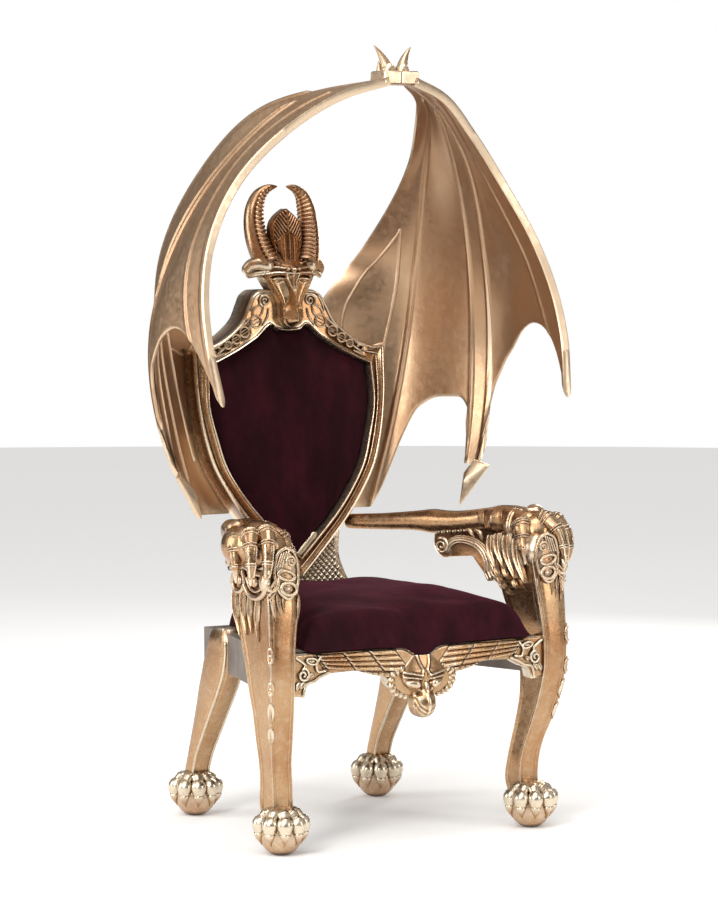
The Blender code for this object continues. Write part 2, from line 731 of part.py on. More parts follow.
# Ribs of the right wing from its front edge round to the edge behind the back, top to tip
WING_RIBS = (
    ((0.034, 0.026, 1.690), (0.125, 0.057, 1.661), (0.245, 0.115, 1.579), (0.349, 0.144, 1.469),
     (0.424, 0.127, 1.343), (0.463, 0.089, 1.201), (0.467, 0.065, 1.116), (0.453, 0.033, 0.980)),
    ((0.034, 0.045, 1.692), (0.155, 0.115, 1.655), (0.296, 0.193, 1.540), (0.393, 0.206, 1.406),
     (0.449, 0.190, 1.293), (0.475, 0.149, 1.150), (0.458, 0.050, 0.990)),
    ((0.034, 0.060, 1.692), (0.185, 0.170, 1.645), (0.301, 0.232, 1.535), (0.418, 0.324, 1.307),
     (0.454, 0.355, 1.125), (0.442, 0.349, 0.943), (0.404, 0.332, 0.813), (0.349, 0.327, 0.716)),
    ((0.034, 0.068, 1.692), (0.190, 0.185, 1.642), (0.305, 0.280, 1.515), (0.402, 0.367, 1.307),
     (0.428, 0.392, 1.125), (0.415, 0.380, 0.943), (0.386, 0.358, 0.813), (0.345, 0.330, 0.716)),
    ((0.034, 0.076, 1.692), (0.135, 0.160, 1.670), (0.215, 0.255, 1.635), (0.303, 0.412, 1.481),
     (0.347, 0.514, 1.280), (0.345, 0.535, 1.173), (0.298, 0.548, 0.905), (0.238, 0.550, 0.700)),
    ((0.034, 0.084, 1.692), (0.159, 0.220, 1.649), (0.206, 0.300, 1.597), (0.252, 0.400, 1.521),
     (0.258, 0.520, 1.401)),
)
WING_ROOT = ((0.226, 1.270), (0.192, 1.160), (0.172, 0.980), (0.142, 0.840), (0.110, 0.700))
RIB_PLACES = (0.0, 0.15, 0.45, 0.52, 0.78, 1.0)
# Columns of the shell: place across, how far down it reaches, stand of the rib there
WING_EDGE = (
    (0.000, 1.000, 1.0), (0.080, 0.985, 0.3), (0.115, 0.900, 0.6), (0.150, 0.842, 1.0),
    (0.180, 0.802, 0.1), (0.240, 0.760, 0.0), (0.310, 0.732, 0.0), (0.375, 0.726, 0.0),
    (0.425, 0.754, 0.0), (0.444, 0.806, 0.6), (0.450, 0.915, 1.0), (0.520, 0.915, 1.0),
    (0.527, 0.812, 0.5), (0.560, 0.788, 0.0), (0.630, 0.790, 0.0), (0.700, 0.812, 0.0),
    (0.735, 0.868, 0.2), (0.760, 0.965, 0.7), (0.780, 1.000, 1.0), (0.890, 1.000, 0.0),
    (1.000, 1.000, 0.0),
)
WING_ROWS = 9
BARB = ((0.398, 0.336, 0.822), (0.420, 0.304, 0.808), (0.349, 0.327, 0.712),
        (0.372, 0.342, 0.790))


def wing_surface():
    """The shell's middle surface: across the ribs from 0 to 1, and down them from 0 to 1."""
    ribs = [curve(scaled(rib)) for rib in WING_RIBS[:-1]] + [curve(root_rib())]

    def at(u, v):
        section = np.array([rib(v) for rib in ribs])
        steps = np.linalg.norm(np.diff(section, axis=0), axis=1)
        knots = np.concatenate([[0], np.cumsum(steps)])
        return spline(knots, section)(np.interp(u, RIB_PLACES, knots))

    return at


def wing(name, finish):
    """A curved shell with ribs, a scalloped edge, an arrow-tipped finger, a block and a claw."""
    surface = wing_surface()
    grid = []
    for u, reach, rib in WING_EDGE:
        column = []
        half = RIM_THICKNESS / 2 if u == 0 else SHELL_THICKNESS / 2 + rib * RIB_HEIGHT
        for r in range(WING_ROWS):
            down = r / (WING_ROWS - 1)
            v = down - (1 - reach) * down ** 3
            point = surface(u, v)
            across = surface(min(u + 0.01, 1), v) - surface(max(u - 0.01, 0), v)
            along = surface(u, min(v + 0.01, 1)) - surface(u, max(v - 0.01, 0))
            normal = np.cross(across, along)
            normal /= np.linalg.norm(normal)
            tip = 0.55 if r == WING_ROWS - 1 else 1.0
            column.append((point + half * tip * normal, point - half * tip * normal))
        grid.append(column)
    rows = WING_ROWS
    points = [p for column in grid for pair in column for p in pair]

    def index(c, r, face):
        return (c * rows + r) * 2 + face

    faces = []
    last = len(grid) - 1
    for c in range(last):
        for r in range(rows - 1):
            for f in (0, 1):
                faces.append((index(c, r, f), index(c + 1, r, f),
                              index(c + 1, r + 1, f), index(c, r + 1, f)))
        for r in (0, rows - 1):
            faces.append((index(c, r, 0), index(c + 1, r, 0), index(c + 1, r, 1), index(c, r, 1)))
    for c in (0, last):
        for r in range(rows - 1):
            faces.append((index(c, r, 0), index(c, r + 1, 0), index(c, r + 1, 1), index(c, r, 1)))
    shell = make_object("shell", points, faces)
    out = np.array((0.75, 0.66, 0)) * (SHELL_THICKNESS / 2 + RIB_HEIGHT)
    barb = np.array(scaled(BARB))
    rings = [barb + out * turn for turn in (-1, 1)]
    shapes = [shell, loft("barb", rings)]
    low = np.array((GAP / 2, 0.028, WING_TOP - 0.008))
    high = low + np.array(BLOCK_SIZE)
    shapes.append(box("block", low, high))
    claw = [
        (0.018 + 0.030 * t ** 2, low[1] + 0.030 + 0.012 * t, high[2] - 0.006 + CLAW_LENGTH * t)
        for t in (0, 0.25, 0.5, 0.75, 1.0)
    ]
    shapes.append(tube("claw", claw, (0.0135, 0.0125, 0.0102, 0.0066, 0.0015), 7))
    return union(name, shapes, finish)


def mirrored(piece, name):
    """The same piece for the other side."""
    twin = piece.copy()
    twin.data = piece.data.copy()
    twin.name = name
    for vertex in twin.data.vertices:
        vertex.co.x = -vertex.co.x
    twin.data.flip_normals()
    bpy.context.scene.collection.objects.link(twin)
    return twin


def centre_on_origin(pieces):
    """Parents all pieces to one empty and moves it so that the origin is under the middle."""
    bpy.context.view_layer.update()
    depths = [v.co.y for piece in pieces for v in piece.data.vertices]
    stand = bpy.data.objects.new("throne", None)
    bpy.context.scene.collection.objects.link(stand)
    for piece in pieces:
        piece.parent = stand
    stand.location = (0, -(min(depths) + max(depths)) / 2, 0)


def main():
    clear_scene()
    gold = material("champagne_gold", (0.52, 0.37, 0.22), 0.9, 0.36)
    rail_paint = material("rail_paint", (0.42, 0.36, 0.32), 0.3, 0.5)
    velvet = material("burgundy_velvet", (0.09, 0.012, 0.028), 0.0, 0.8)
    frame = back_frame("back_frame", gold)
    head = crest_head("crest_head", gold)
    seat_against(head, frame)
    board_front = FRAME_DEPTH - BOARD_THICKNESS
    back_pad = shield_fill("back_cushion", PAD_RECESS, board_front - GAP, GAP, PAD_CROWN, velvet)
    seat_against(back_pad, head)
    board = shield_fill("back_board", board_front, FRAME_DEPTH, GAP, 0, rail_paint)
    splat = back_splat("back_splat", gold)
    blank = shield_blank()
    trim(splat, blank)
    bpy.data.objects.remove(blank)

    front = front_leg("front_leg_right", gold)
    rear = rear_leg("rear_leg_right", gold)
    rest = arm("arm_right", gold)
    seat_against(rest, front, frame)
    bracket = arm_bracket("arm_bracket_right", gold)
    seat_against(bracket, rest, front)
    rail = side_rail("side_rail_right", rail_paint)
    seat_against(rail, front, rear)
    shell = wing("wing_right", gold)
    seat_against(shell, frame, board)
    rights = [front, rear, rest, bracket, rail, shell]
    lefts = [mirrored(piece, piece.name.replace("right", "left")) for piece in rights]

    apron = front_apron("front_apron", gold)
    seat_against(apron, front, lefts[0])
    back_rail = rear_rail("rear_rail", rail_paint)
    seat_against(back_rail, rear, lefts[1])
    cushion = seat_cushion("seat_cushion", velvet)
    seat_against(cushion, apron, front, lefts[0], rear, lefts[1])
    pieces = [*rights, *lefts, frame, head, back_pad, board, splat, apron, cushion, back_rail]
    for piece in pieces:
        piece.data.shade_smooth()
        piece.data.set_sharp_from_angle(angle=math.radians(35))
    centre_on_origin(pieces)


main()
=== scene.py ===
"""Looks of the carved throne: gilded carving, burgundy velvet, studio and camera.

Shapes are laid out in metres from a line between the two front feet, x to the right and y backwards,
as in the part's source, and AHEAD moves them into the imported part's own frame.
"""

import json
import math

import bpy
import numpy as np
from mathutils import Matrix, Vector


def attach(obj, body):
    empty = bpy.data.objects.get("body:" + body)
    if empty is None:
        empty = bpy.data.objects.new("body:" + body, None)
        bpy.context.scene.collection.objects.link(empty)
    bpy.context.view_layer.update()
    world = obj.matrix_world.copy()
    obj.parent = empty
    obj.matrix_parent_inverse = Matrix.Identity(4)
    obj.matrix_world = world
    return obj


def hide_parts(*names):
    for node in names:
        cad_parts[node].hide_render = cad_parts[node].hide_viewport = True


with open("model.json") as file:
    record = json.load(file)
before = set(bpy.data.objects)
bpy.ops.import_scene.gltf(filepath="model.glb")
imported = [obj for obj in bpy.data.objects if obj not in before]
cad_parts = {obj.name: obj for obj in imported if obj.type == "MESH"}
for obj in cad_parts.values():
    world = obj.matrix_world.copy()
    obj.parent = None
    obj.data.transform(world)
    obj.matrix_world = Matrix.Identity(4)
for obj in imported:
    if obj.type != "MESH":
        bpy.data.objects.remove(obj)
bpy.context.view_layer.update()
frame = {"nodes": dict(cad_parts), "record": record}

FOOT = next(m for m in frame["record"]["mounts"] if m["name"] == "foot_front_right")["pos_m"]
AHEAD = np.array((0.0, FOOT[1], 0.0))

# Sizes shared with the solids
FRONT_FOOT_X = 0.330
REAR_FOOT_X = 0.249
FOOT_SPACING = 0.537
BALL_RADIUS = 0.048
FLAT_RADIUS = 0.014
BALL_CENTRE = math.sqrt(BALL_RADIUS ** 2 - FLAT_RADIUS ** 2)
FRONT_LEG_HEIGHT = 0.620
REAR_LEG_HEIGHT = 0.455
ARM_HEIGHT = 0.692
ARM_WIDTH = 0.048
RAIL_TOP = 0.445
BACK_POINT_Z = 0.550
BACK_Y = FOOT_SPACING - 0.075
LEAN = 0.105
FRAME_DEPTH = 0.076
FRAME_WIDTH = 0.040
SHIELD_HALF = 0.258
SHIELD_HEIGHT = 0.538
CREST_RISE = 0.136
SHELL_THICKNESS = 0.008
RIM_THICKNESS = 0.020
BOARD_THICKNESS = 0.012


# Curves and meshes

def spline(knots, values):
    """Cubic pieces through the values, with slopes taken from the neighbours."""
    knots = np.array(knots, float)
    values = np.array(values, float)
    slopes = np.gradient(values, knots, axis=0)

    def at(t):
        t = np.clip(np.asarray(t, float), knots[0], knots[-1])
        i = np.clip(np.searchsorted(knots, t, side="right") - 1, 0, len(knots) - 2)
        width = knots[i + 1] - knots[i]
        s = (t - knots[i]) / width
        if values.ndim > 1:
            s = s[..., None]
            width = width[..., None]
        return (
            (2 * s ** 3 - 3 * s ** 2 + 1) * values[i]
            + (s ** 3 - 2 * s ** 2 + s) * width * slopes[i]
            + (3 * s ** 2 - 2 * s ** 3) * values[i + 1]
            + (s ** 3 - s ** 2) * width * slopes[i + 1]
        )

    return at


def curve(points):
    """A smooth path through the points, as a function of 0 to 1 along their chords."""
    points = np.array(points, float)
    knots = np.concatenate([[0], np.cumsum(np.linalg.norm(np.diff(points, axis=0), axis=1))])
    return spline(knots / knots[-1], points)


def steady(knots, values):
    """Cubic pieces that never overshoot the values."""
    x = np.array(knots, float)
    y = np.array(values, float)
    rise = np.diff(y) / np.diff(x)
    slopes = np.zeros_like(y)
    for i in range(1, len(y) - 1):
        if rise[i - 1] * rise[i] > 0:
            slopes[i] = 2 / (1 / rise[i - 1] + 1 / rise[i])
    slopes[0], slopes[-1] = rise[0], rise[-1]

    def at(t):
        t = np.clip(np.asarray(t, float), x[0], x[-1])
        i = np.clip(np.searchsorted(x, t, side="right") - 1, 0, len(x) - 2)
        h = x[i + 1] - x[i]
        s = (t - x[i]) / h
        return (
            (2 * s ** 3 - 3 * s ** 2 + 1) * y[i] + (s ** 3 - 2 * s ** 2 + s) * h * slopes[i]
            + (3 * s ** 2 - 2 * s ** 3) * y[i + 1] + (s ** 3 - s ** 2) * h * slopes[i + 1]
        )

    return at


def smooth(t):
    t = np.clip(t, 0, 1)
    return t * t * (3 - 2 * t)


def bump(x, centre, width):
    return np.exp(-(((x - centre) / width) ** 2))


def unit(v):
    v = np.asarray(v, float)
    return v / np.maximum(np.linalg.norm(v, axis=-1, keepdims=True), 1e-12)


class Bag:
    """Points and faces collected for one piece."""

    def __init__(self):
        self.points = []
        self.faces = []
        self.count = 0

    def add(self, points, faces):
        points = np.asarray(points, float).reshape(-1, 3)
        self.points.append(points)
        self.faces.extend([tuple(int(i) + self.count for i in face) for face in faces])
        self.count += len(points)
        return self

    def take(self, other, turn=None):
        """Adds another bag, moved by a function of its points."""
        points = np.concatenate(other.points)
        if turn:
            points = turn(points)
        self.add(points, other.faces)
        return self


def skin(rows, columns, around=False, closed=False):
    """Faces over a grid of points. around joins its last column to its first, closed its last row."""
    faces = []
    for r in range(rows if closed else rows - 1):
        low = r * columns
        high = ((r + 1) % rows) * columns
        for c in range(columns if around else columns - 1):
            d = (c + 1) % columns
            faces.append((low + c, low + d, high + d, high + c))
    return faces


def loft(bag, rings, caps=True):
    """Skins rings of equal counts, first to last."""
    rings = np.asarray(rings, float)
    rows, columns = rings.shape[:2]
    points = rings.reshape(-1, 3)
    faces = skin(rows, columns, around=True)
    if caps:
        ends = np.array([rings[0].mean(0), rings[-1].mean(0)])
        points = np.concatenate([points, ends])
        first, last = rows * columns, rows * columns + 1
        for c in range(columns):
            d = (c + 1) % columns
            faces.append((d, c, first))
            faces.append((last - 2 - columns + 1 + c, last - 2 - columns + 1 + d, last))
    return bag.add(points, faces)


def along(points, count):
    """The path resampled at equal steps."""
    points = np.asarray(points, float)
    reach = np.concatenate([[0], np.cumsum(np.linalg.norm(np.diff(points, axis=0), axis=1))])
    t = np.linspace(0, reach[-1], count)
    return np.stack([np.interp(t, reach, points[:, k]) for k in range(points.shape[1])], axis=1)


def tube(bag, points, radii, sides=10, flat=1.0, across=None, round_ends=True):
    """A tapered tube. With across, its section is flat times as thick square to that direction."""
    points = np.asarray(points, float)
    radii = np.broadcast_to(np.asarray(radii, float), (len(points),)).copy()
    if round_ends:
        ends = []
        for at, step, r in ((0, points[0] - points[1], radii[0]), (-1, points[-1] - points[-2], radii[-1])):
            lift = unit(step) * r
            ends.append([(points[at] + lift * math.sin(a), r * math.cos(a)) for a in (0.5, 1.0, 1.4)])
        points = np.concatenate([
            [p for p, _ in ends[0][::-1]], points, [p for p, _ in ends[1]]])
        radii = np.concatenate([[r for _, r in ends[0][::-1]], radii, [r for _, r in ends[1]]])
    tangents = unit(np.gradient(points, axis=0))
    if across is None:
        start = np.array((0, 0, 1.0)) if abs(tangents[0][2]) < 0.9 else np.array((1.0, 0, 0))
        wide = []
        side = unit(np.cross(tangents[0], start))
        for tangent in tangents:
            side = unit(side - np.dot(side, tangent) * tangent)
            wide.append(side)
        wide = np.array(wide)
    else:
        across = np.broadcast_to(np.asarray(across, float), points.shape)
        wide = unit(across - (across * tangents).sum(1, keepdims=True) * tangents)
    tall = np.cross(tangents, wide)
    angle = 2 * math.pi * np.arange(sides) / sides
    rings = (
        points[:, None]
        + radii[:, None, None] * (np.cos(angle)[None, :, None] * wide[:, None]
                                  + flat * np.sin(angle)[None, :, None] * tall[:, None])
    )
    return loft(bag, rings)


def blob(bag, centre, sizes, axes=None, sides=20, levels=12):
    """An ellipsoid. axes are its three directions."""
    axes = np.eye(3) if axes is None else np.array([unit(a) for a in axes])
    polar = math.pi * (np.arange(levels) + 0.5) / levels
    turn = 2 * math.pi * np.arange(sides) / sides
    local = np.stack([
        np.sin(polar)[:, None] * np.cos(turn)[None],
        np.sin(polar)[:, None] * np.sin(turn)[None],
        -np.cos(polar)[:, None] * np.ones(sides)[None],
    ], axis=-1) * np.asarray(sizes, float)
    return loft(bag, np.asarray(centre, float) + local @ axes)


def petal(bag, points, width, height, out, groove=0.0, count=16):
    """A tongue on a surface: it follows points, is widest in its middle, and rises along out."""
    path = along(curve(points)(np.linspace(0, 1, 40)), count)
    out = np.broadcast_to(np.asarray(out, float), path.shape)
    tangents = unit(np.gradient(path, axis=0))
    side = unit(np.cross(tangents, out))
    t = np.linspace(0, 1, count)
    broad = width * np.maximum(np.sin(math.pi * t ** 0.8), 0.02) ** 0.7
    angle = np.linspace(0, math.pi, 9)
    rings = []
    for k in range(count):
        dip = groove * np.exp(-((angle - math.pi / 2) / 0.35) ** 2)
        up = height * (np.sin(angle) - dip) * (0.25 + 0.75 * math.sin(math.pi * min(t[k] * 1.1, 1)) ** 0.5)
        ring = [path[k] + broad[k] * math.cos(a) * side[k] + h * out[k] for a, h in zip(angle, up)]
        ring += [path[k] - 0.35 * height * out[k] + 0.5 * broad[k] * math.cos(a) * side[k]
                 for a in (math.pi * 0.75, math.pi * 0.25)]
        rings.append(ring)
    return loft(bag, rings)


def acanthus(bag, points, width, height, out, count=22, blunt=0.0):
    """A broad leaf on a surface: widest near its start, pointed at its end, with raised rims and a middle vein."""
    path = along(curve(points)(np.linspace(0, 1, 40)), count)
    out = np.broadcast_to(np.asarray(out, float), path.shape)
    side = unit(np.cross(unit(np.gradient(path, axis=0)), out))
    t = np.linspace(0, 1, count)
    broad = width * np.maximum((1 - t ** (2.4 + blunt)) ** 0.75, 0.04) * (0.72 + 0.28 * np.sin(math.pi * np.minimum(t * 1.6, 1)))
    place = np.linspace(-1, 1, 15)
    shape = 0.38 + 0.62 * bump(np.abs(place), 0.80, 0.16) + 0.30 * bump(place, 0, 0.14) - 0.38 * (np.abs(place) > 0.99)
    rings = []
    for k in range(count):
        rise = height * (0.55 + 0.45 * math.sin(math.pi * t[k] ** 0.7))
        ring = [path[k] + broad[k] * a * side[k] + rise * h * out[k] for a, h in zip(place, shape)]
        ring += [path[k] - 0.5 * height * out[k] + 0.7 * broad[k] * a * side[k] for a in (0.7, -0.7)]
        rings.append(ring)
    return loft(bag, rings)


def spin(centre, start, turns, first, last, count=40, squeeze=1.0):
    """A flat spiral in two numbers: radius first to last, over turns from the start angle."""
    t = np.linspace(0, 1, count)
    angle = start + 2 * math.pi * turns * t
    radius = first + (last - first) * t
    return np.stack([centre[0] + radius * np.cos(angle), centre[1] + squeeze * radius * np.sin(angle)], axis=1)


# Materials

def nodes_of(material):
    return material.node_tree.nodes, material.node_tree.links


def mix_colour(nodes, links, factor, a, b, how="MIX"):
    made = nodes.new("ShaderNodeMix")
    made.data_type = "RGBA"
    made.blend_type = how
    made.clamp_factor = True
    for socket, value in ((made.inputs[0], factor), (made.inputs[6], a), (made.inputs[7], b)):
        if isinstance(value, bpy.types.NodeSocket):
            links.new(value, socket)
        elif isinstance(value, tuple):
            socket.default_value = (*value, 1)
        else:
            socket.default_value = value
    return made.outputs[2]


def spread(nodes, links, value, low, high, to_low=0.0, to_high=1.0):
    made = nodes.new("ShaderNodeMapRange")
    made.clamp = True
    links.new(value, made.inputs[0])
    for k, number in enumerate((low, high, to_low, to_high)):
        made.inputs[k + 1].default_value = number
    return made.outputs[0]


def noise(nodes, links, where, scale, detail=3.0, rough=0.55, stretch=None):
    made = nodes.new("ShaderNodeTexNoise")
    made.inputs["Scale"].default_value = scale
    made.inputs["Detail"].default_value = detail
    made.inputs["Roughness"].default_value = rough
    if stretch:
        mapping = nodes.new("ShaderNodeMapping")
        mapping.inputs["Scale"].default_value = stretch
        links.new(where, mapping.inputs[0])
        where = mapping.outputs[0]
    links.new(where, made.inputs[0])
    return made.outputs[0]


def gilding(name, base, painted_shade_colour, light, copper, rough=0.27, metal=0.94, hollow=1.0,
            brushed=0.0, mottle=1.0, darker_above=None):
    """Antique gilding with coppery patches and pale worn flecks. Painted shade darkens hollows and creases to dark
    brown; raised edges turn pale, partly as wear and partly as painted highlight.
    """
    made = bpy.data.materials.new(name)
    made.use_nodes = True
    made.diffuse_color = (*base, 1)
    nodes, links = nodes_of(made)
    shader = nodes["Principled BSDF"]
    where = nodes.new("ShaderNodeTexCoord").outputs["Object"]
    relief = nodes.new("ShaderNodeAttribute")
    relief.attribute_name = "relief"
    relief = relief.outputs["Fac"]
    # Ambient occlusion, used below for painted shade in creases and recesses, and for rougher gilding there.
    shade = nodes.new("ShaderNodeAmbientOcclusion")
    shade.samples = 4
    shade.inputs["Distance"].default_value = 0.014
    patch = spread(nodes, links, noise(nodes, links, where, 7.0, 3), 0.38, 0.70, 0, mottle)
    worn = noise(nodes, links, where, 70.0, 5)
    colour = mix_colour(nodes, links, patch, base, copper)
    grain = spread(nodes, links, noise(nodes, links, where, 240.0, 3), 0.3, 0.7)
    colour = mix_colour(nodes, links, spread(nodes, links, worn, 0.50, 0.80, 0, 0.22 * mottle), colour, light)
    # Pale colour on raised edges found by the relief attribute: painted highlight, with worn noise mixed in as real
    # wear.
    wear_and_edge_highlight = nodes.new("ShaderNodeMath")
    wear_and_edge_highlight.operation = "MULTIPLY_ADD"
    links.new(worn, wear_and_edge_highlight.inputs[0])
    wear_and_edge_highlight.inputs[1].default_value = 0.20
    links.new(relief, wear_and_edge_highlight.inputs[2])
    colour = mix_colour(nodes, links, spread(nodes, links, wear_and_edge_highlight.outputs[0], 0.22, 0.70, 0, 0.75), colour, light)
    # Painted shade: concave spots, found by the relief attribute, are darkened towards the dark brown shade colour.
    low = spread(nodes, links, relief, -0.05, -0.55, 0, 0.8 * hollow)
    colour = mix_colour(nodes, links, low, colour, painted_shade_colour)
    # Painted shade: ambient occlusion darkens creases, recesses and the gaps between parts towards the dark brown
    # colour.
    occlusion_shade = spread(nodes, links, shade.outputs["AO"], 0.75, 0.15, 0, 0.85 * hollow)
    colour = mix_colour(nodes, links, occlusion_shade, colour, painted_shade_colour)
    # The colour is multiplied darker and browner above the given heights, growing from the first height to the second.
    if darker_above:
        height = nodes.new("ShaderNodeSeparateXYZ")
        links.new(where, height.inputs[0])
        colour = mix_colour(nodes, links, spread(nodes, links, height.outputs[2], *darker_above, 0, 0.80), colour,
                            (0.40, 0.21, 0.10), "MULTIPLY")
    links.new(colour, shader.inputs["Base Color"])
    shader.inputs["Metallic"].default_value = metal
    dull = nodes.new("ShaderNodeMath")
    dull.operation = "MULTIPLY_ADD"
    links.new(occlusion_shade, dull.inputs[0])
    dull.inputs[1].default_value = 0.25
    links.new(spread(nodes, links, worn, 0.3, 0.75, rough - 0.06, rough + 0.10), dull.inputs[2])
    links.new(dull.outputs[0], shader.inputs["Roughness"])
    fine = nodes.new("ShaderNodeBump")
    fine.inputs["Strength"].default_value = 0.16
    fine.inputs["Distance"].default_value = 0.0006
    links.new(grain, fine.inputs["Height"])
    broad = nodes.new("ShaderNodeBump")
    broad.inputs["Strength"].default_value = 0.30
    broad.inputs["Distance"].default_value = 0.0016
    links.new(noise(nodes, links, where, 34.0, 3), broad.inputs["Height"])
    links.new(broad.outputs[0], fine.inputs["Normal"])
    last = fine
    if brushed:
        strokes = nodes.new("ShaderNodeBump")
        strokes.inputs["Strength"].default_value = brushed
        strokes.inputs["Distance"].default_value = 0.0005
        links.new(noise(nodes, links, where, 260.0, 3, 0.6, (1.0, 1.0, 0.05)), strokes.inputs["Height"])
        links.new(fine.outputs[0], strokes.inputs["Normal"])
        last = strokes
    links.new(last.outputs[0], shader.inputs["Normal"])
    return made


def pile(name, base, bright, scale=16.0):
    """Velvet: short pile that shows lighter where it was stroked, and sheen at its edges."""
    made = bpy.data.materials.new(name)
    made.use_nodes = True
    made.diffuse_color = (*base, 1)
    nodes, links = nodes_of(made)
    shader = nodes["Principled BSDF"]
    where = nodes.new("ShaderNodeTexCoord").outputs["Object"]
    stroked = spread(nodes, links, noise(nodes, links, where, scale, 4, 0.6, (1.0, 1.0, 0.45)), 0.40, 0.68)
    speck = noise(nodes, links, where, 900.0, 2)
    colour = mix_colour(nodes, links, stroked, base, bright)
    colour = mix_colour(nodes, links, spread(nodes, links, speck, 0.35, 0.7, 0, 0.3), colour, base)
    links.new(colour, shader.inputs["Base Color"])
    shader.inputs["Roughness"].default_value = 0.92
    shader.inputs["Specular IOR Level"].default_value = 0.15
    shader.inputs["Sheen Weight"].default_value = 0.16
    shader.inputs["Sheen Roughness"].default_value = 0.32
    shader.inputs["Sheen Tint"].default_value = (0.85, 0.12, 0.32, 1)
    fuzz = nodes.new("ShaderNodeBump")
    fuzz.inputs["Strength"].default_value = 0.5
    fuzz.inputs["Distance"].default_value = 0.0007
    links.new(speck, fuzz.inputs["Height"])
    waves = nodes.new("ShaderNodeBump")
    waves.inputs["Strength"].default_value = 0.4
    waves.inputs["Distance"].default_value = 0.003
    links.new(noise(nodes, links, where, 22.0, 2), waves.inputs["Height"])
    links.new(waves.outputs[0], fuzz.inputs["Normal"])
    links.new(fuzz.outputs[0], shader.inputs["Normal"])
    return made


def paint(name, base, dark):
    """Plain satin paint with faint brush marks and worn, dusty patches."""
    made = bpy.data.materials.new(name)
    made.use_nodes = True
    made.diffuse_color = (*base, 1)
    nodes, links = nodes_of(made)
    shader = nodes["Principled BSDF"]
    where = nodes.new("ShaderNodeTexCoord").outputs["Object"]
    cloud = noise(nodes, links, where, 12.0, 5)
    colour = mix_colour(nodes, links, spread(nodes, links, cloud, 0.35, 0.7), base, dark)
    links.new(colour, shader.inputs["Base Color"])
    shader.inputs["Metallic"].default_value = 0.35
    links.new(spread(nodes, links, cloud, 0.3, 0.7, 0.42, 0.6), shader.inputs["Roughness"])
    marks = nodes.new("ShaderNodeBump")
    marks.inputs["Strength"].default_value = 0.25
    marks.inputs["Distance"].default_value = 0.0006
    links.new(noise(nodes, links, where, 180.0, 3, 0.6, (0.15, 0.15, 1.0)), marks.inputs["Height"])
    links.new(marks.outputs[0], shader.inputs["Normal"])
    return made


# Gilding colours: base, dark brown for painted shade in hollows and creases, pale for worn flecks and painted edge
# highlights, copper for patches.
GOLD = gilding("carved_gold", (0.50, 0.310, 0.165), (0.070, 0.025, 0.010), (0.88, 0.80, 0.64), (0.40, 0.195, 0.085))
BRIGHT = gilding("pale_gold", (0.52, 0.335, 0.180), (0.065, 0.024, 0.010), (0.90, 0.83, 0.67), (0.42, 0.215, 0.095))
WING_GOLD = gilding("wing_gold", (0.52, 0.345, 0.215), (0.10, 0.045, 0.022), (0.80, 0.64, 0.46),
                    (0.47, 0.255, 0.125), rough=0.36, metal=0.90, hollow=0.6, brushed=0.3, mottle=0.45)
# The head grows darker and browner from 1.262 m up to 1.300 m.
HEAD_GOLD = gilding("head_gold", (0.56, 0.37, 0.205), (0.070, 0.025, 0.010), (0.90, 0.83, 0.67), (0.42, 0.215, 0.095),
                    darker_above=(1.262, 1.300))
VELVET = pile("burgundy_velvet", (0.0165, 0.0016, 0.0040), (0.040, 0.0042, 0.0095))
PAINT = paint("rail_paint", (0.235, 0.20, 0.17), (0.15, 0.12, 0.10))


# Pieces

def relief_of(mesh, reach=0.004):
    """How far each point stands over (+) or under (-) its surroundings, as a share of reach."""
    count = len(mesh.vertices)
    points = np.empty(count * 3)
    mesh.vertices.foreach_get("co", points)
    points = points.reshape(-1, 3)
    normals = np.empty(count * 3)
    mesh.vertices.foreach_get("normal", normals)
    normals = normals.reshape(-1, 3)
    edges = np.empty(len(mesh.edges) * 2, np.int64)
    mesh.edges.foreach_get("vertices", edges)
    a, b = edges.reshape(-1, 2).T
    length = np.linalg.norm(points[a] - points[b], axis=1).mean()
    turns = int(np.clip((reach / length) ** 2 * 1.5, 2, 30))
    number = np.bincount(a, minlength=count) + np.bincount(b, minlength=count)
    number = np.maximum(number, 1)
    level = points.copy()
    for _ in range(turns):
        for k in range(3):
            total = np.bincount(a, level[b, k], count) + np.bincount(b, level[a, k], count)
            level[:, k] = 0.5 * level[:, k] + 0.5 * total / number
    stand = ((points - level) * normals).sum(1) / (reach * 0.25)
    attribute = mesh.attributes.new("relief", "FLOAT", "POINT")
    attribute.data.foreach_set("value", np.clip(stand, -1, 1).astype(np.float32))


def mesh_of(name, bag, flip=False):
    points = np.concatenate(bag.points)
    if flip:
        points = points * (-1, 1, 1)
    mesh = bpy.data.meshes.new(name)
    mesh.from_pydata((points + AHEAD).tolist(), [], [f[::-1] if flip else f for f in bag.faces])
    mesh.validate()
    return mesh


def melt(obj, voxel, rounds=2):
    """Joins overlapping shapes into one skin, and softens its steps."""
    remesh = obj.modifiers.new("melt", "REMESH")
    remesh.mode = "VOXEL"
    remesh.voxel_size = voxel
    soften = obj.modifiers.new("soften", "SMOOTH")
    soften.factor = 0.5
    soften.iterations = rounds
    bpy.context.view_layer.update()
    graph = bpy.context.evaluated_depsgraph_get()
    mesh = bpy.data.meshes.new_from_object(obj.evaluated_get(graph))
    obj.modifiers.clear()
    old = obj.data
    obj.data = mesh
    bpy.data.meshes.remove(old)


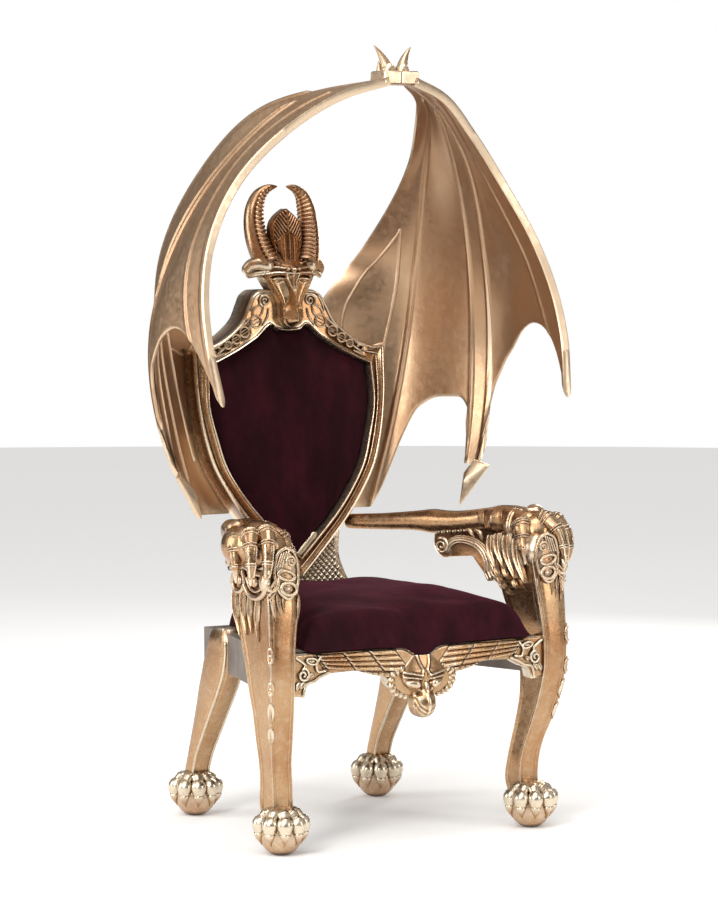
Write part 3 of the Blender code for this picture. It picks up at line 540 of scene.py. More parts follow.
def piece(name, bag, material, nodes, voxel=None, rounds=2, flip=False, flat_angle=50, shape=None):
    """Makes one object of the throne, riding on the root, in place of the named solids."""
    obj = bpy.data.objects.new(name, mesh_of(name, bag, flip))
    bpy.context.scene.collection.objects.link(obj)
    import bmesh
    work = bmesh.new()
    work.from_mesh(obj.data)
    bmesh.ops.recalc_face_normals(work, faces=work.faces)
    work.to_mesh(obj.data)
    work.free()
    if voxel:
        melt(obj, voxel, rounds)
    if shape:
        shape(obj)
    obj.data.materials.clear()
    obj.data.materials.append(material)
    obj.data.shade_smooth()
    if not voxel:
        obj.data.set_sharp_from_angle(angle=math.radians(flat_angle))
    relief_of(obj.data)
    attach(obj, "root")
    if nodes:
        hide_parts(*nodes)
    return obj


def pair(name, bag, material, voxel=None, rounds=2, flat_angle=50):
    """The piece for the right side and its mirror image for the left."""
    made = []
    for side in ("right", "left"):
        made.append(piece(f"{name}_{side}_carved", bag, material, [f"{name}_{side}"],
                          voxel, rounds, side == "left", flat_angle))
    return made


# Wings

WING_RIBS = (
    ((0.034, 0.026, 1.690), (0.125, 0.057, 1.661), (0.245, 0.115, 1.579), (0.349, 0.144, 1.469),
     (0.424, 0.127, 1.343), (0.463, 0.089, 1.201), (0.467, 0.065, 1.116), (0.453, 0.033, 0.980)),
    ((0.034, 0.045, 1.692), (0.155, 0.115, 1.655), (0.296, 0.193, 1.540), (0.393, 0.206, 1.406),
     (0.449, 0.190, 1.293), (0.475, 0.149, 1.150), (0.458, 0.050, 0.990)),
    ((0.034, 0.060, 1.692), (0.185, 0.170, 1.645), (0.301, 0.232, 1.535), (0.418, 0.324, 1.307),
     (0.454, 0.355, 1.125), (0.442, 0.349, 0.943), (0.404, 0.332, 0.813), (0.349, 0.327, 0.716)),
    ((0.034, 0.068, 1.692), (0.190, 0.185, 1.642), (0.305, 0.280, 1.515), (0.402, 0.367, 1.307),
     (0.428, 0.392, 1.125), (0.415, 0.380, 0.943), (0.386, 0.358, 0.813), (0.345, 0.330, 0.716)),
    ((0.034, 0.076, 1.692), (0.135, 0.160, 1.670), (0.215, 0.255, 1.635), (0.303, 0.412, 1.481),
     (0.347, 0.514, 1.280), (0.345, 0.535, 1.173), (0.298, 0.548, 0.905), (0.238, 0.550, 0.700)),
    ((0.034, 0.084, 1.692), (0.159, 0.220, 1.649), (0.206, 0.300, 1.597), (0.252, 0.400, 1.521),
     (0.258, 0.520, 1.401)),
)
WING_ROOT = ((0.226, 1.270), (0.192, 1.160), (0.172, 0.980), (0.142, 0.840), (0.110, 0.700))
WING_ROOT_RIGHT = ((0.220, 1.277), (0.176, 1.234), (0.140, 1.196), (0.126, 1.10), (0.120, 0.980), (0.115, 0.840), (0.110, 0.700))
RIB_PLACES = (0.0, 0.15, 0.45, 0.52, 0.78, 1.0)
WING_REACH = (   # place across, how far down the shell reaches there
    (0.000, 1.000), (0.080, 0.985), (0.115, 0.900), (0.150, 0.842), (0.180, 0.802), (0.240, 0.760),
    (0.310, 0.732), (0.375, 0.726), (0.425, 0.754), (0.444, 0.806), (0.450, 0.915), (0.520, 0.915),
    (0.527, 0.812), (0.560, 0.788), (0.630, 0.790), (0.700, 0.812), (0.735, 0.868), (0.760, 0.965),
    (0.780, 1.000), (0.890, 1.000), (1.000, 1.000),
)
WING_LINES = (   # ridges on the shell: places across and down, height, width
    (((0.15, 0.13), (0.15, 0.84)), 0.0030, 0.0060), (((0.45, 0.16), (0.45, 0.93)), 0.0050, 0.0055),
    (((0.52, 0.17), (0.52, 0.93)), 0.0050, 0.0055), (((0.78, 0.12), (0.78, 1.0)), 0.0050, 0.0060),
)
WING_FORK = (   # the forked moulding on the shell's inner side, as places across and down
    ((0.948, 0.700), (0.942, 0.640), (0.935, 0.565), (0.905, 0.520), (0.872, 0.478)),
    ((0.872, 0.478), (0.852, 0.520), (0.836, 0.570), (0.830, 0.640), (0.838, 0.705), (0.850, 0.90)),
    ((0.948, 0.690), (0.905, 0.712), (0.840, 0.700)),
)
BARB = ((0.398, 0.336, 0.822), (0.420, 0.304, 0.808), (0.349, 0.327, 0.712), (0.372, 0.342, 0.790))


def back_place(x, height, depth):
    """A point of the leaning back: height over the shield's point, depth behind its front."""
    x, height, depth = np.broadcast_arrays(x, height, depth)
    return np.stack([x, BACK_Y + LEAN * height + depth, BACK_POINT_Z + height], axis=-1)


def wing_surface(root_line):
    ribs = [curve(rib) for rib in WING_RIBS[:-1]]
    root = [*WING_RIBS[-1]]
    root += [tuple(back_place(x, z - BACK_POINT_Z, FRAME_DEPTH + SHELL_THICKNESS / 2 + 0.0008))
             for x, z in root_line]
    ribs.append(curve(root))

    def column(u, vs):
        section = np.stack([rib(vs) for rib in ribs], axis=1)
        out = []
        for row in section:
            steps = np.linalg.norm(np.diff(row, axis=0), axis=1)
            knots = np.concatenate([[0], np.cumsum(steps)])
            out.append(spline(knots, row)(np.interp(u, RIB_PLACES, knots)))
        return np.array(out)

    return column


def near_line(points, line):
    """Distance of each point from a line of points."""
    best = np.full(len(points), 1e9)
    for a, b in zip(line[:-1], line[1:]):
        step = b - a
        share = np.clip(((points - a) @ step) / max(step @ step, 1e-12), 0, 1)
        best = np.minimum(best, np.linalg.norm(points - a - share[:, None] * step, axis=1))
    return best


def wing(root_line):
    """A thin curved shell with ridges, a thick front rim and a scalloped edge."""
    column = wing_surface(root_line)
    reach = steady([u for u, _ in WING_REACH], [r for _, r in WING_REACH])
    breaks = [0.444, 0.450, 0.520, 0.527, 0.78]
    us = np.unique(np.concatenate([
        np.linspace(0, 1, 120), breaks, np.linspace(0, 0.03, 6),
        *[np.linspace(r - 0.022, r + 0.022, 11) for r in (0.15, 0.45, 0.52, 0.78)]]))
    us = us[np.concatenate([[True], np.diff(us) > 0.0012])]
    rows = 108
    down = np.linspace(0, 1, rows)
    middle = np.empty((len(us), rows, 3))
    for c, u in enumerate(us):
        vs = down - (1 - float(reach(u))) * down ** 3
        middle[c] = column(u, vs)
    across = np.gradient(middle, axis=0)
    downward = np.gradient(middle, axis=1)
    normal = unit(np.cross(across, downward))
    flat = middle.reshape(-1, 3)
    raised = np.zeros(len(flat))
    for places, height, width in WING_LINES:
        trail = along(curve(places)(np.linspace(0, 1, 60)), 60)
        line = np.array([column(u, np.array([v]))[0] for u, v in trail])
        away = near_line(flat, line)
        raised = np.maximum(raised, height * (1.25 * np.exp(-(away / width) ** 2)
                                              - 0.25 * np.exp(-(away / (2.6 * width)) ** 2)))
    raised = raised.reshape(len(us), rows)
    rim = np.linalg.norm(middle - middle[:1], axis=-1)
    half = SHELL_THICKNESS / 2 + (RIM_THICKNESS - SHELL_THICKNESS) / 2 * (1 - smooth((rim - 0.012) / 0.012))
    half = half + raised
    half[:, -1] *= 0.45
    half[:, -2] *= 0.88
    half[0, :] *= 0.72
    front = middle + half[..., None] * normal
    back = middle - half[..., None] * normal
    bag = Bag()
    columns = len(us)
    points = np.concatenate([front.reshape(-1, 3), back.reshape(-1, 3)])
    faces = skin(columns, rows)
    faces += [tuple(i + columns * rows for i in f[::-1]) for f in faces]
    other = columns * rows

    def edge(line):
        for a, b in zip(line[:-1], line[1:]):
            faces.append((a, b, b + other, a + other))

    edge([c * rows for c in range(columns)][::-1])
    edge([c * rows + rows - 1 for c in range(columns)])
    edge([r for r in range(rows)])
    edge([(columns - 1) * rows + r for r in range(rows)][::-1])
    bag.add(points, faces)
    for places in WING_FORK:
        trail = along(curve(places)(np.linspace(0, 1, 60)), 46)
        line = np.array([column(u, np.array([v]))[0] for u, v in trail])
        beside = np.array([column(min(u + 0.004, 1), np.array([v]))[0] for u, v in trail])
        below = np.array([column(u, np.array([v + 0.004]))[0] for u, v in trail])
        out = unit(np.cross(beside - line, below - line))
        for face in (-1, 1):
            tube(bag, line + face * out * SHELL_THICKNESS * 0.42, 0.0052, 10, 0.8)
    out = np.array((0.75, 0.66, 0))
    barb = np.array(BARB)
    middle_of = barb[[0, 2, 3]].mean(0)
    rings = []
    for share, stand in ((0.15, -2.4), (0.90, -1.0), (1.0, -0.5), (1.0, 0.5), (0.90, 1.0), (0.15, 2.4)):
        rings.append(middle_of + (barb - middle_of) * share + out * stand * 0.0058)
    loft(bag, rings)
    top = Bag()
    block(top, (0.0004, 0.028, 1.684), (0.046, 0.090, 1.714), 0.003)
    block(top, (0.0010, 0.031, 1.690), (0.049, 0.087, 1.700), 0.003)
    t = np.linspace(0, 1, 26)
    claw = np.stack([0.018 + 0.030 * t ** 2, 0.058 + 0.012 * t, 1.706 + 0.0655 * t], axis=1)
    tube(top, claw - (0, 0, 0.0018), 0.0138 * (1 - t ** 1.6) + 0.0008, 18)
    tube(top, [(0.018, 0.058, 1.711), (0.018, 0.058, 1.716)], 0.0165, 18)
    second = np.stack([0.014 + 0.004 * t, 0.062 - 0.0 * t, 1.706 + 0.030 * t], axis=1)
    tube(top, second + (0.016, 0.012, 0), 0.0075 * (1 - t ** 1.6) + 0.0006, 12)
    return bag, top


def block(bag, low, high, bevel):
    """A box with bevelled edges."""
    low = np.array(low, float)
    high = np.array(high, float)
    rings = []
    for z, inset in ((low[2], bevel), (low[2] + bevel, 0), (high[2] - bevel, 0), (high[2], bevel)):
        x0, y0 = low[:2] + inset
        x1, y1 = high[:2] - inset
        b = bevel
        rings.append([(x0 + b, y0, z), (x1 - b, y0, z), (x1, y0 + b, z), (x1, y1 - b, z),
                      (x1 - b, y1, z), (x0 + b, y1, z), (x0, y1 - b, z), (x0, y0 + b, z)])
    return loft(bag, rings)


for hand, root_line in (("right", WING_ROOT_RIGHT), ("left", WING_ROOT)):
    shell, crown = wing(root_line)
    piece(f"wing_{hand}_carved", shell.take(crown), WING_GOLD, [f"wing_{hand}"], flip=hand == "left", flat_angle=38)


# Back frame and crest

LOWER_OUTER = ((0, 0), (0.26, 0.121), (0.505, 0.242), (0.69, 0.357), (0.845, 0.483), (0.935, 0.623),
               (0.985, 0.781), (1, 1))
UPPER_OUTER = ((0.992, 1.0), (0.90, 0.995), (0.79, 0.935), (0.578, 0.70), (0.469, 0.50),
               (0.402, 0.25), (0.36, 0.10), (0.30, 0.02), (0.20, 0.0), (0.0, 0.0))


def shield_outlines(lower, upper):
    """Half of the frame's inner and outer outlines, from the low point up to the top middle."""
    outer_path = curve([(x * SHIELD_HALF, h * SHIELD_HEIGHT) for x, h in LOWER_OUTER])
    crest = SHIELD_HEIGHT + CREST_RISE
    upper_path = curve([(x * SHIELD_HALF, crest - drop * CREST_RISE) for x, drop in UPPER_OUTER])
    corner = (SHIELD_HALF - FRAME_WIDTH, SHIELD_HEIGHT - FRAME_WIDTH)
    foot = 1.2 * FRAME_WIDTH
    low_shape = [(x * corner[0], foot + h * (corner[1] - foot)) for x, h in LOWER_OUTER]
    low_shape[-2] = (corner[0] * 1.012, low_shape[-2][1])
    inner_path = curve(low_shape)
    top_path = curve([
        corner, (0.850 * corner[0], corner[1] + 0.012), (0.640 * corner[0], corner[1] + 0.033),
        (0.405 * corner[0], corner[1] + 0.062), (0.190 * corner[0], corner[1] + 0.091),
        (0.155 * corner[0], corner[1] + 0.084), (0.0, corner[1] + 0.078),
    ])
    t = np.linspace(0, 1, lower)
    s = np.linspace(0, 1, upper + 1)[1:]
    inner = np.concatenate([inner_path(t), top_path(s)])
    outer = np.concatenate([outer_path(t), upper_path(s)])
    return inner, outer


def whole_loop(half):
    """Closes a half outline that starts and ends on the middle line."""
    return np.concatenate([half, half[-2:0:-1] * (-1, 1)])


INNER, OUTER = (whole_loop(line) for line in shield_outlines(90, 80))


def crest_place(x, z, lift=0.0):
    """A point of the crest plate's face from its place across and its height over the floor."""
    point = back_place(x, np.asarray(z) - BACK_POINT_Z, 0.006)
    point[..., 1] -= lift
    return point


def back_frame():
    """Shield moulding with beads at both edges, and a flat crest plate above."""
    profile = []
    width = np.linalg.norm(OUTER - INNER, axis=1)
    for t in np.linspace(0, math.pi, 7):
        profile.append(("in", 0.0035 - 0.0035 * math.cos(t), 0.010 - 0.010 * math.sin(t) * 0.9))
    for share in np.linspace(0, 1, 17):
        profile.append(("mid", share, 0))
    for t in np.linspace(0, math.pi, 7):
        profile.append(("out", 0.0085 - 0.0045 + 0.0045 * math.cos(t), 0.009 - 0.0085 * math.sin(t)))
    profile += [("out", 0.0, 0.012), ("out", 0.0, FRAME_DEPTH - 0.003), ("out", 0.003, FRAME_DEPTH),
                ("in", 0.003, FRAME_DEPTH), ("in", 0.0, FRAME_DEPTH - 0.003)]
    rings = []
    for (xi, hi), (xo, ho), w in zip(INNER, OUTER, width):
        plate = smooth((w - 0.050) / 0.020)
        ring = []
        for kind, a, depth in profile:
            if kind == "in":
                share = a / w
            elif kind == "out":
                share = 1 - a / w
            else:
                low, high = 0.0075 / w, 1 - 0.0090 / w
                share = low + (high - low) * a
                roll = 0.0135 * math.sin(math.pi * (1 - a) ** 0.75) ** 1.5 * (1 - 0.45 * a)
                step = 0.0035 if 0.60 < a < 0.70 else 0.0
                moulded = 0.0055 + roll - step
                depth = (1 - plate) * moulded + plate * 0.0065
            ring.append(back_place(xi + (xo - xi) * share, hi + (ho - hi) * share, depth))
        rings.append(ring)
    rings = np.array(rings)
    bag = Bag()
    bag.add(rings.reshape(-1, 3), skin(len(rings), rings.shape[1], around=True, closed=True))
    for side in (-1, 1):
        def on_plate(pairs, lift=0.0022):
            pairs = np.asarray(pairs, float)
            return crest_place(side * pairs[:, 0], pairs[:, 1], lift)

        face = (0, -1, 0.1)
        spiral = spin((0.061, 1.199), math.radians(-60), 1.6, 0.0150, 0.003, 44)
        tube(bag, on_plate(spiral), np.linspace(0.0034, 0.0028, len(spiral)), 8, 0.9)
        rings_at = ((0.088, 1.150, 0.0140), (0.1205, 1.126, 0.0120), (0.1435, 1.110, 0.0105),
                    (0.166, 1.096, 0.0085))
        for x, z, r in rings_at:
            turn = np.linspace(0, 2 * math.pi, 29)
            loop = np.stack([x + r * np.cos(turn), z + r * np.sin(turn)], axis=1)
            tube(bag, on_plate(loop, 0.0016), 0.0024, 8)
            for k in (-0.30, 0.30):
                bar = [(x - 0.85 * r, z + k * r + 0.42 * r), (x + 0.85 * r, z + k * r - 0.42 * r)]
                tube(bag, on_plate(along(bar, 4), 0.0006), 0.0013, 6)
        stems = (
            ((0.066, 1.184), (0.070, 1.170), (0.079, 1.160)), ((0.075, 1.190), (0.092, 1.178), (0.097, 1.162)),
            ((0.101, 1.142), (0.108, 1.136), (0.111, 1.133)), ((0.131, 1.119), (0.134, 1.116), (0.136, 1.114)),
            ((0.151, 1.105), (0.155, 1.102), (0.160, 1.099)), ((0.172, 1.092), (0.184, 1.084), (0.198, 1.074)),
            ((0.052, 1.180), (0.057, 1.160), (0.070, 1.141)), ((0.083, 1.213), (0.094, 1.196), (0.100, 1.176)),
            ((0.104, 1.156), (0.122, 1.143), (0.146, 1.127)), ((0.178, 1.102), (0.198, 1.091), (0.214, 1.084)),
            ((0.176, 1.078), (0.192, 1.072), (0.204, 1.066)),
        )
        for stem in stems:
            path = along(curve(stem)(np.linspace(0, 1, 16)), 12)
            tube(bag, on_plate(path, 0.0010), 0.0018 + 0.0012 * np.sin(math.pi * np.linspace(0, 1, 12)), 8)
        for base, tip, wide in (((0.197, 1.079), (0.222, 1.079), 0.0050), ((0.193, 1.073), (0.213, 1.063), 0.0045),
                                ((0.186, 1.087), (0.204, 1.094), 0.0040)):
            middle = ((base[0] + tip[0]) / 2, (base[1] + tip[1]) / 2 + 0.003)
            petal(bag, on_plate([base, middle, tip], 0.0006), wide, 0.0035, face, 0.35, 10)
    return bag


piece("back_frame_carved", back_frame(), GOLD, ["back_frame"], flat_angle=42)


# Dragon head

def relief_grid(half_at, low, high, columns, rows, out, back, place):
    """A closed shape whose front stands out(x, z) before a plane, over heights low to high."""
    z = np.linspace(low, high, rows)
    share = np.sin(np.linspace(-1, 1, columns) * math.pi / 2 * 0.96) / math.sin(math.pi / 2 * 0.96)
    x = half_at(z)[:, None] * share[None]
    zz = np.broadcast_to(z[:, None], x.shape)
    front = place(x, out(x, zz), zz)
    behind = place(x[:, ::-1][:, ::4], np.broadcast_to(back, x[:, ::4].shape), zz[:, ::4])
    return np.concatenate([front, behind], axis=1)


def ridge(x, z, points, height, width):
    """A raised line on a relief: height over its surroundings, and half its width."""
    line = along(curve(points)(np.linspace(0, 1, 40)), 26) if len(points) > 2 else np.array(points, float)
    away = near_line(np.stack([np.abs(x).ravel(), z.ravel()], axis=1), line).reshape(x.shape)
    return height * np.exp(-(away / width) ** 2)


def dome(x, z, cx, cz, rx, rz, height):
    r = 1 - ((np.abs(x) - cx) / rx) ** 2 - ((z - cz) / rz) ** 2
    return height * np.sqrt(np.maximum(r, 0))


def dragon_head():
    bag = Bag()

    def place(x, out, z):
        x, out, z = np.broadcast_arrays(x, out, z)
        return np.stack([x, BACK_Y + LEAN * (z - BACK_POINT_Z) - out, z], axis=-1)

    def at(x, out, z):
        return tuple(place(x, out, z))

    outline = steady((1.134, 1.138, 1.146, 1.160, 1.176, 1.189, 1.202, 1.216, 1.234, 1.252, 1.264, 1.280, 1.298, 1.316, 1.334, 1.350),
                     (0.006, 0.017, 0.0255, 0.0305, 0.0300, 0.0295, 0.034, 0.043, 0.055, 0.067, 0.078, 0.082, 0.078, 0.068, 0.056, 0.044))
    edge = steady((1.134, 1.145, 1.18, 1.22, 1.262, 1.285, 1.31, 1.35), (0.006, 0.013, 0.015, 0.015, 0.012, 0.006, 0.000, -0.008))
    middle = steady((1.134, 1.142, 1.155, 1.17, 1.20, 1.262, 1.285, 1.31, 1.35), (0.010, 0.024, 0.032, 0.032, 0.029, 0.031, 0.024, 0.016, 0.010))

    def face(x, z):
        half = outline(z)
        t = np.clip(np.abs(x) / half, 0, 1)
        stand = edge(z) + (middle(z) - edge(z)) * (1 - t) ** 0.85
        cheeks = smooth((z - 1.172) / 0.02) * (1 - smooth((z - 1.248) / 0.012))
        stand = stand - cheeks * 0.0070 * np.sin(math.pi * np.clip(t * 1.05, 0, 1)) ** 1.4
        stand = stand - 0.008 * np.maximum(t - 0.90, 0) / 0.10
        stand = stand + ridge(x, z, ((0.058, 1.250), (0.044, 1.226), (0.0315, 1.202), (0.0265, 1.180), (0.0260, 1.160)), 0.0045, 0.0042)
        wide = np.interp(z, (1.145, 1.165, 1.185, 1.225), (0.0150, 0.0165, 0.0110, 0.0035))
        stand = stand + 0.0100 * np.exp(-(x / wide) ** 2) * smooth((z - 1.138) / 0.014) * (1 - smooth((z - 1.205) / 0.028))
        stand = stand + ridge(x, z, ((0.0165, 1.258), (0.0105, 1.242), (0.0030, 1.222)), 0.0042, 0.0028)
        stand = stand - ridge(x, z, ((0.0210, 1.254), (0.0150, 1.240), (0.0085, 1.220), (0.0100, 1.196), (0.0165, 1.182)), 0.0032, 0.0024)
        stand = stand + ridge(x, z, ((0.0, 1.256), (0.0, 1.232)), 0.0026, 0.0028)
        stand = stand - ridge(x, z, ((0.0245, 1.176), (0.0230, 1.158), (0.0160, 1.144), (0.0040, 1.139)), 0.0040, 0.0022)
        stand = stand - ridge(x, z, ((0.0195, 1.2545), (0.0330, 1.2560), (0.0500, 1.2530)), 0.0062, 0.0020)
        stand = stand + ridge(x, z, ((0.0180, 1.2500), (0.0330, 1.2495), (0.0520, 1.2490)), 0.0030, 0.0022)
        stand = stand + ridge(x, z, ((0.0220, 1.2440), (0.0360, 1.2390), (0.0500, 1.2440)), 0.0016, 0.0018)
        stand = stand + ridge(x, z, ((0.0, 1.2620), (0.024, 1.2640), (0.048, 1.2640), (0.072, 1.2600)), 0.0070, 0.0036)
        stand = stand + ridge(x, z, ((0.0, 1.2720), (0.020, 1.2745), (0.046, 1.2775), (0.076, 1.2750)), 0.0080, 0.0044)
        stand = stand + dome(x, z, 0.0, 1.2720, 0.0090, 0.0090, 0.0085)
        stand = stand + dome(x, z, 0.0150, 1.2715, 0.0050, 0.0050, 0.0065)
        for k in range(4):
            stand = stand + ridge(x, z, ((0.030 + 0.003 * k, 1.286 + 0.010 * k), (0.042 + 0.002 * k, 1.291 + 0.011 * k),
                                         (0.060 - 0.002 * k, 1.306 + 0.011 * k)), 0.0036, 0.0026)
        swirl = spin((0.0560, 1.2950), math.radians(200), 1.4, 0.0125, 0.0020, 34)
        away = near_line(np.stack([np.abs(x).ravel(), z.ravel()], axis=1), swirl).reshape(x.shape)
        return stand + 0.0045 * np.exp(-(away / 0.0024) ** 2)

    loft(bag, relief_grid(outline, 1.134, 1.350, 157, 180, face, -0.030, place))

    # Flares at the temples, which wrap backwards
    for side in (-1, 1):
        for points, low, high, flat in (
            (((0.060, 0.010, 1.281), (0.078, 0.003, 1.284), (0.090, -0.006, 1.281), (0.096, -0.016, 1.272)), 0.0180, 0.0150, 0.95),
            (((0.060, 0.016, 1.263), (0.076, 0.008, 1.262), (0.088, -0.002, 1.259), (0.096, -0.014, 1.256)), 0.0066, 0.0060, 1.0),
        ):
            path = along(curve(points)(np.linspace(0, 1, 30)), 26)
            tube(bag, [at(side * x, o, z) for x, o, z in path], np.linspace(low, high, 26), 18, flat, (0, 0, 1))

        # Horn: ringed on its inner front, smooth on its outer back
        horn = along(curve([(0.052, 0.004, 1.283), (0.063, -0.004, 1.308), (0.0715, -0.012, 1.345), (0.0735, -0.016, 1.385),
                            (0.0690, -0.014, 1.420), (0.0560, -0.010, 1.447), (0.0360, -0.006, 1.4615), (0.0120, -0.003, 1.4665)])(
            np.linspace(0, 1, 120)), 190)
        line = place(side * horn[:, 0], horn[:, 1], horn[:, 2])
        t = np.linspace(0, 1, 190)
        radius = steady((0, 0.12, 0.35, 0.55, 0.72, 0.86, 0.95, 1.0), (0.030, 0.0275, 0.0250, 0.0225, 0.0180, 0.0110, 0.0058, 0.0012))(t)
        tangent = unit(np.gradient(line, axis=0))
        aim = np.array((-side * 0.75, -0.66, 0.0))
        inward = unit(aim - (tangent @ aim)[:, None] * tangent)
        beside = np.cross(tangent, inward)
        angle = 2 * math.pi * np.arange(36) / 36
        ringed = smooth((np.cos(angle) - 0.40) / 0.12)
        wave = np.sin(2 * math.pi * 20 * t) * smooth(t / 0.04) * (1 - smooth((t - 0.90) / 0.06))
        swell = 1 + ringed[None] * (0.050 + 0.070 * wave[:, None]) - 0.05 * bump(np.cos(angle), 0.34, 0.07)[None]
        loft(bag, line[:, None] + (radius[:, None] * swell)[..., None]
             * (np.cos(angle)[None, :, None] * inward[:, None] + np.sin(angle)[None, :, None] * beside[:, None]))

    # Crown leaf with flutes that rise from its middle line, and a smaller leaf in front
    crown = steady((1.286, 1.315, 1.340, 1.362, 1.380, 1.396, 1.407, 1.414), (0.030, 0.037, 0.0415, 0.0425, 0.0380, 0.0260, 0.0120, 0.0010))

    def crown_face(x, z):
        half = np.maximum(crown(z), 0.001)
        t = np.clip(np.abs(x) / half, 0, 1)
        stand = 0.004 + 0.012 * np.sqrt(1 - t ** 2 * 0.96)
        flute = np.sin((z - 1.30 * np.abs(x) - 5.0 * x ** 2) / 0.0125 * 2 * math.pi)
        stand = stand + 0.0020 * flute * smooth(np.abs(x) / 0.004) * (1 - smooth((t - 0.80) / 0.08))
        stand = stand + 0.0030 * bump(x, 0, 0.0022)
        return stand + 0.0026 * bump(t, 0.90, 0.07)

    loft(bag, relief_grid(crown, 1.286, 1.4138, 97, 110, crown_face, -0.012, place))
    leaf = steady((1.276, 1.290, 1.305, 1.322, 1.338, 1.349, 1.356, 1.3615), (0.0160, 0.0185, 0.0225, 0.0280, 0.0300, 0.0210, 0.0105, 0.0008))

    def leaf_face(x, z):
        half = np.maximum(leaf(z), 0.001)
        t = np.clip(np.abs(x) / half, 0, 1)
        stand = 0.0210 - 0.0035 * t ** 2 - 0.0020 * bump(np.abs(x), 0.0075, 0.0030) + 0.0016 * bump(x, 0, 0.0022)
        return stand + 0.0028 * bump(t, 0.90, 0.09)

    loft(bag, relief_grid(leaf, 1.276, 1.3614, 65, 80, leaf_face, 0.004, place))
    return bag


piece("crest_head_carved", dragon_head(), HEAD_GOLD, ["crest_head"], flat_angle=60)


# Back splat with its lattice

def splat():
    bottom = RAIL_TOP + 0.0003 - BACK_POINT_Z
    top = 0.102
    sides = spline((bottom, -0.04, 0.01, 0.045, 0.075, top), (0.172, 0.150, 0.126, 0.115, 0.116, 0.120))
    front, thick = 0.022, 0.024
    bag = Bag()
    rings = []
    for depth, inset in ((front, 0.0015), (front + 0.0015, 0), (front + thick, 0)):
        heights = np.linspace(bottom, top, 24)
        right = np.stack([sides(heights) - inset, heights], axis=1)
        loop = np.concatenate([right, right[::-1] * (-1, 1)])
        rings.append(back_place(loop[:, 0], loop[:, 1], depth))
    loft(bag, rings)
    pitch = 0.0118
    for i in range(-18, 19):
        for j in range(-18, 19):
            x = (i - j) * pitch / math.sqrt(2) / 1.0 * 0.94
            h = (i + j) * pitch / math.sqrt(2) * 0.94
            if not bottom + 0.006 < h < top - 0.006 or abs(x) > float(sides(h)) - 0.010:
                continue
            if h > 0.006 + 0.47 * abs(x) / 0.26 + 0.0:
                edge = np.interp(abs(x), OUTER[:90, 0], OUTER[:90, 1])
                if h > edge - 0.004:
                    continue
            r = pitch * 0.60
            rings = []
            for share, lift in ((1.0, -0.001), (1.0, 0.0014), (0.62, 0.0040), (0.25, 0.0048)):
                rings.append([back_place(x + r * share * dx, h + r * share * dz, front - lift)
                              for dx, dz in ((1, 0), (0, 1), (-1, 0), (0, -1))])
            loft(bag, rings)
    return bag


piece("back_splat_carved", splat(), BRIGHT, ["back_splat"], flat_angle=30)


# Velvet back pad

def inset(loop, amount):
    before = np.roll(loop, 1, axis=0)
    after = np.roll(loop, -1, axis=0)
    along_it = after - before
    outward = unit(np.stack([along_it[:, 1], -along_it[:, 0]], axis=1))
    return loop - outward * amount


def back_pad():
    """The pad swells from the frame's inner edge to a crowned middle, over a flat back."""
    loop = inset(INNER, 0.0004)
    middle = np.array((0.0, 0.33))
    bag = Bag()
    rings = []
    back = FRAME_DEPTH - BOARD_THICKNESS - 0.0006
    rings.append(back_place(*((middle + (loop - middle) * 0.02).T), back))
    rings.append(back_place(*(loop.T), back))
    for t in np.linspace(0, 1, 34):
        share = 1 - t
        rise = 1 - (1 - smooth(min(t * 2.6, 1)) * 0.86 - 0.14 * t)
        depth = 0.0215 - 0.0165 * rise
        shrunk = middle + (loop - middle) * max(share, 0.004) ** 1.0
        rings.append(back_place(shrunk[:, 0], shrunk[:, 1], depth))
    loft(bag, rings)
    return bag


def swell(obj, cell, cap, held):
    """Stuffs the pad as a tight cover: a short cloth run, each point kept within cap of its place. held marks what stays."""
    remesh = obj.modifiers.new("remesh", "REMESH")
    remesh.mode = "VOXEL"
    remesh.voxel_size = cell
    bpy.context.view_layer.update()
    mesh = bpy.data.meshes.new_from_object(obj.evaluated_get(bpy.context.evaluated_depsgraph_get()))
    obj.modifiers.clear()
    obj.data = mesh
    start = np.empty(len(mesh.vertices) * 3)
    mesh.vertices.foreach_get("co", start)
    start = start.reshape(-1, 3)
    cover = obj.modifiers.new("cover", "CLOTH")
    cover.settings.use_pressure = True
    cover.settings.uniform_pressure_force = 4.0
    cover.settings.quality = 5
    cover.settings.effector_weights.gravity = 0.0
    cover.point_cache.frame_start = 1
    cover.point_cache.frame_end = 20
    scene = bpy.context.scene
    for step in range(1, 21):
        scene.frame_set(step)
    filled = obj.evaluated_get(bpy.context.evaluated_depsgraph_get())
    ended = np.empty(len(start) * 3)
    filled.data.vertices.foreach_get("co", ended)
    obj.modifiers.clear()
    scene.frame_set(1)
    move = ended.reshape(-1, 3) - start
    far = np.linalg.norm(move, axis=1, keepdims=True)
    move = move * (cap * (1 - np.exp(-far / cap)) / np.maximum(far, 1e-9)) * (1 - held(start))[:, None]
    mesh.vertices.foreach_set("co", (start + move).ravel())
    mesh.update()
    finer = obj.modifiers.new("finer", "SUBSURF")
    finer.levels = finer.render_levels = 1
    bpy.context.view_layer.update()
    obj.data = bpy.data.meshes.new_from_object(obj.evaluated_get(bpy.context.evaluated_depsgraph_get()))
    obj.modifiers.clear()


def stuff_back(obj):
    def held(points):
        behind = points[:, 1] - AHEAD[1] - BACK_Y - LEAN * (points[:, 2] - BACK_POINT_Z)
        return smooth((behind - 0.018) / 0.016)

    swell(obj, 0.005, 0.007, held)


pad = piece("back_cushion_velvet", back_pad(), VELVET, ["back_cushion"], flat_angle=60, shape=stuff_back)


# Legs and claw feet

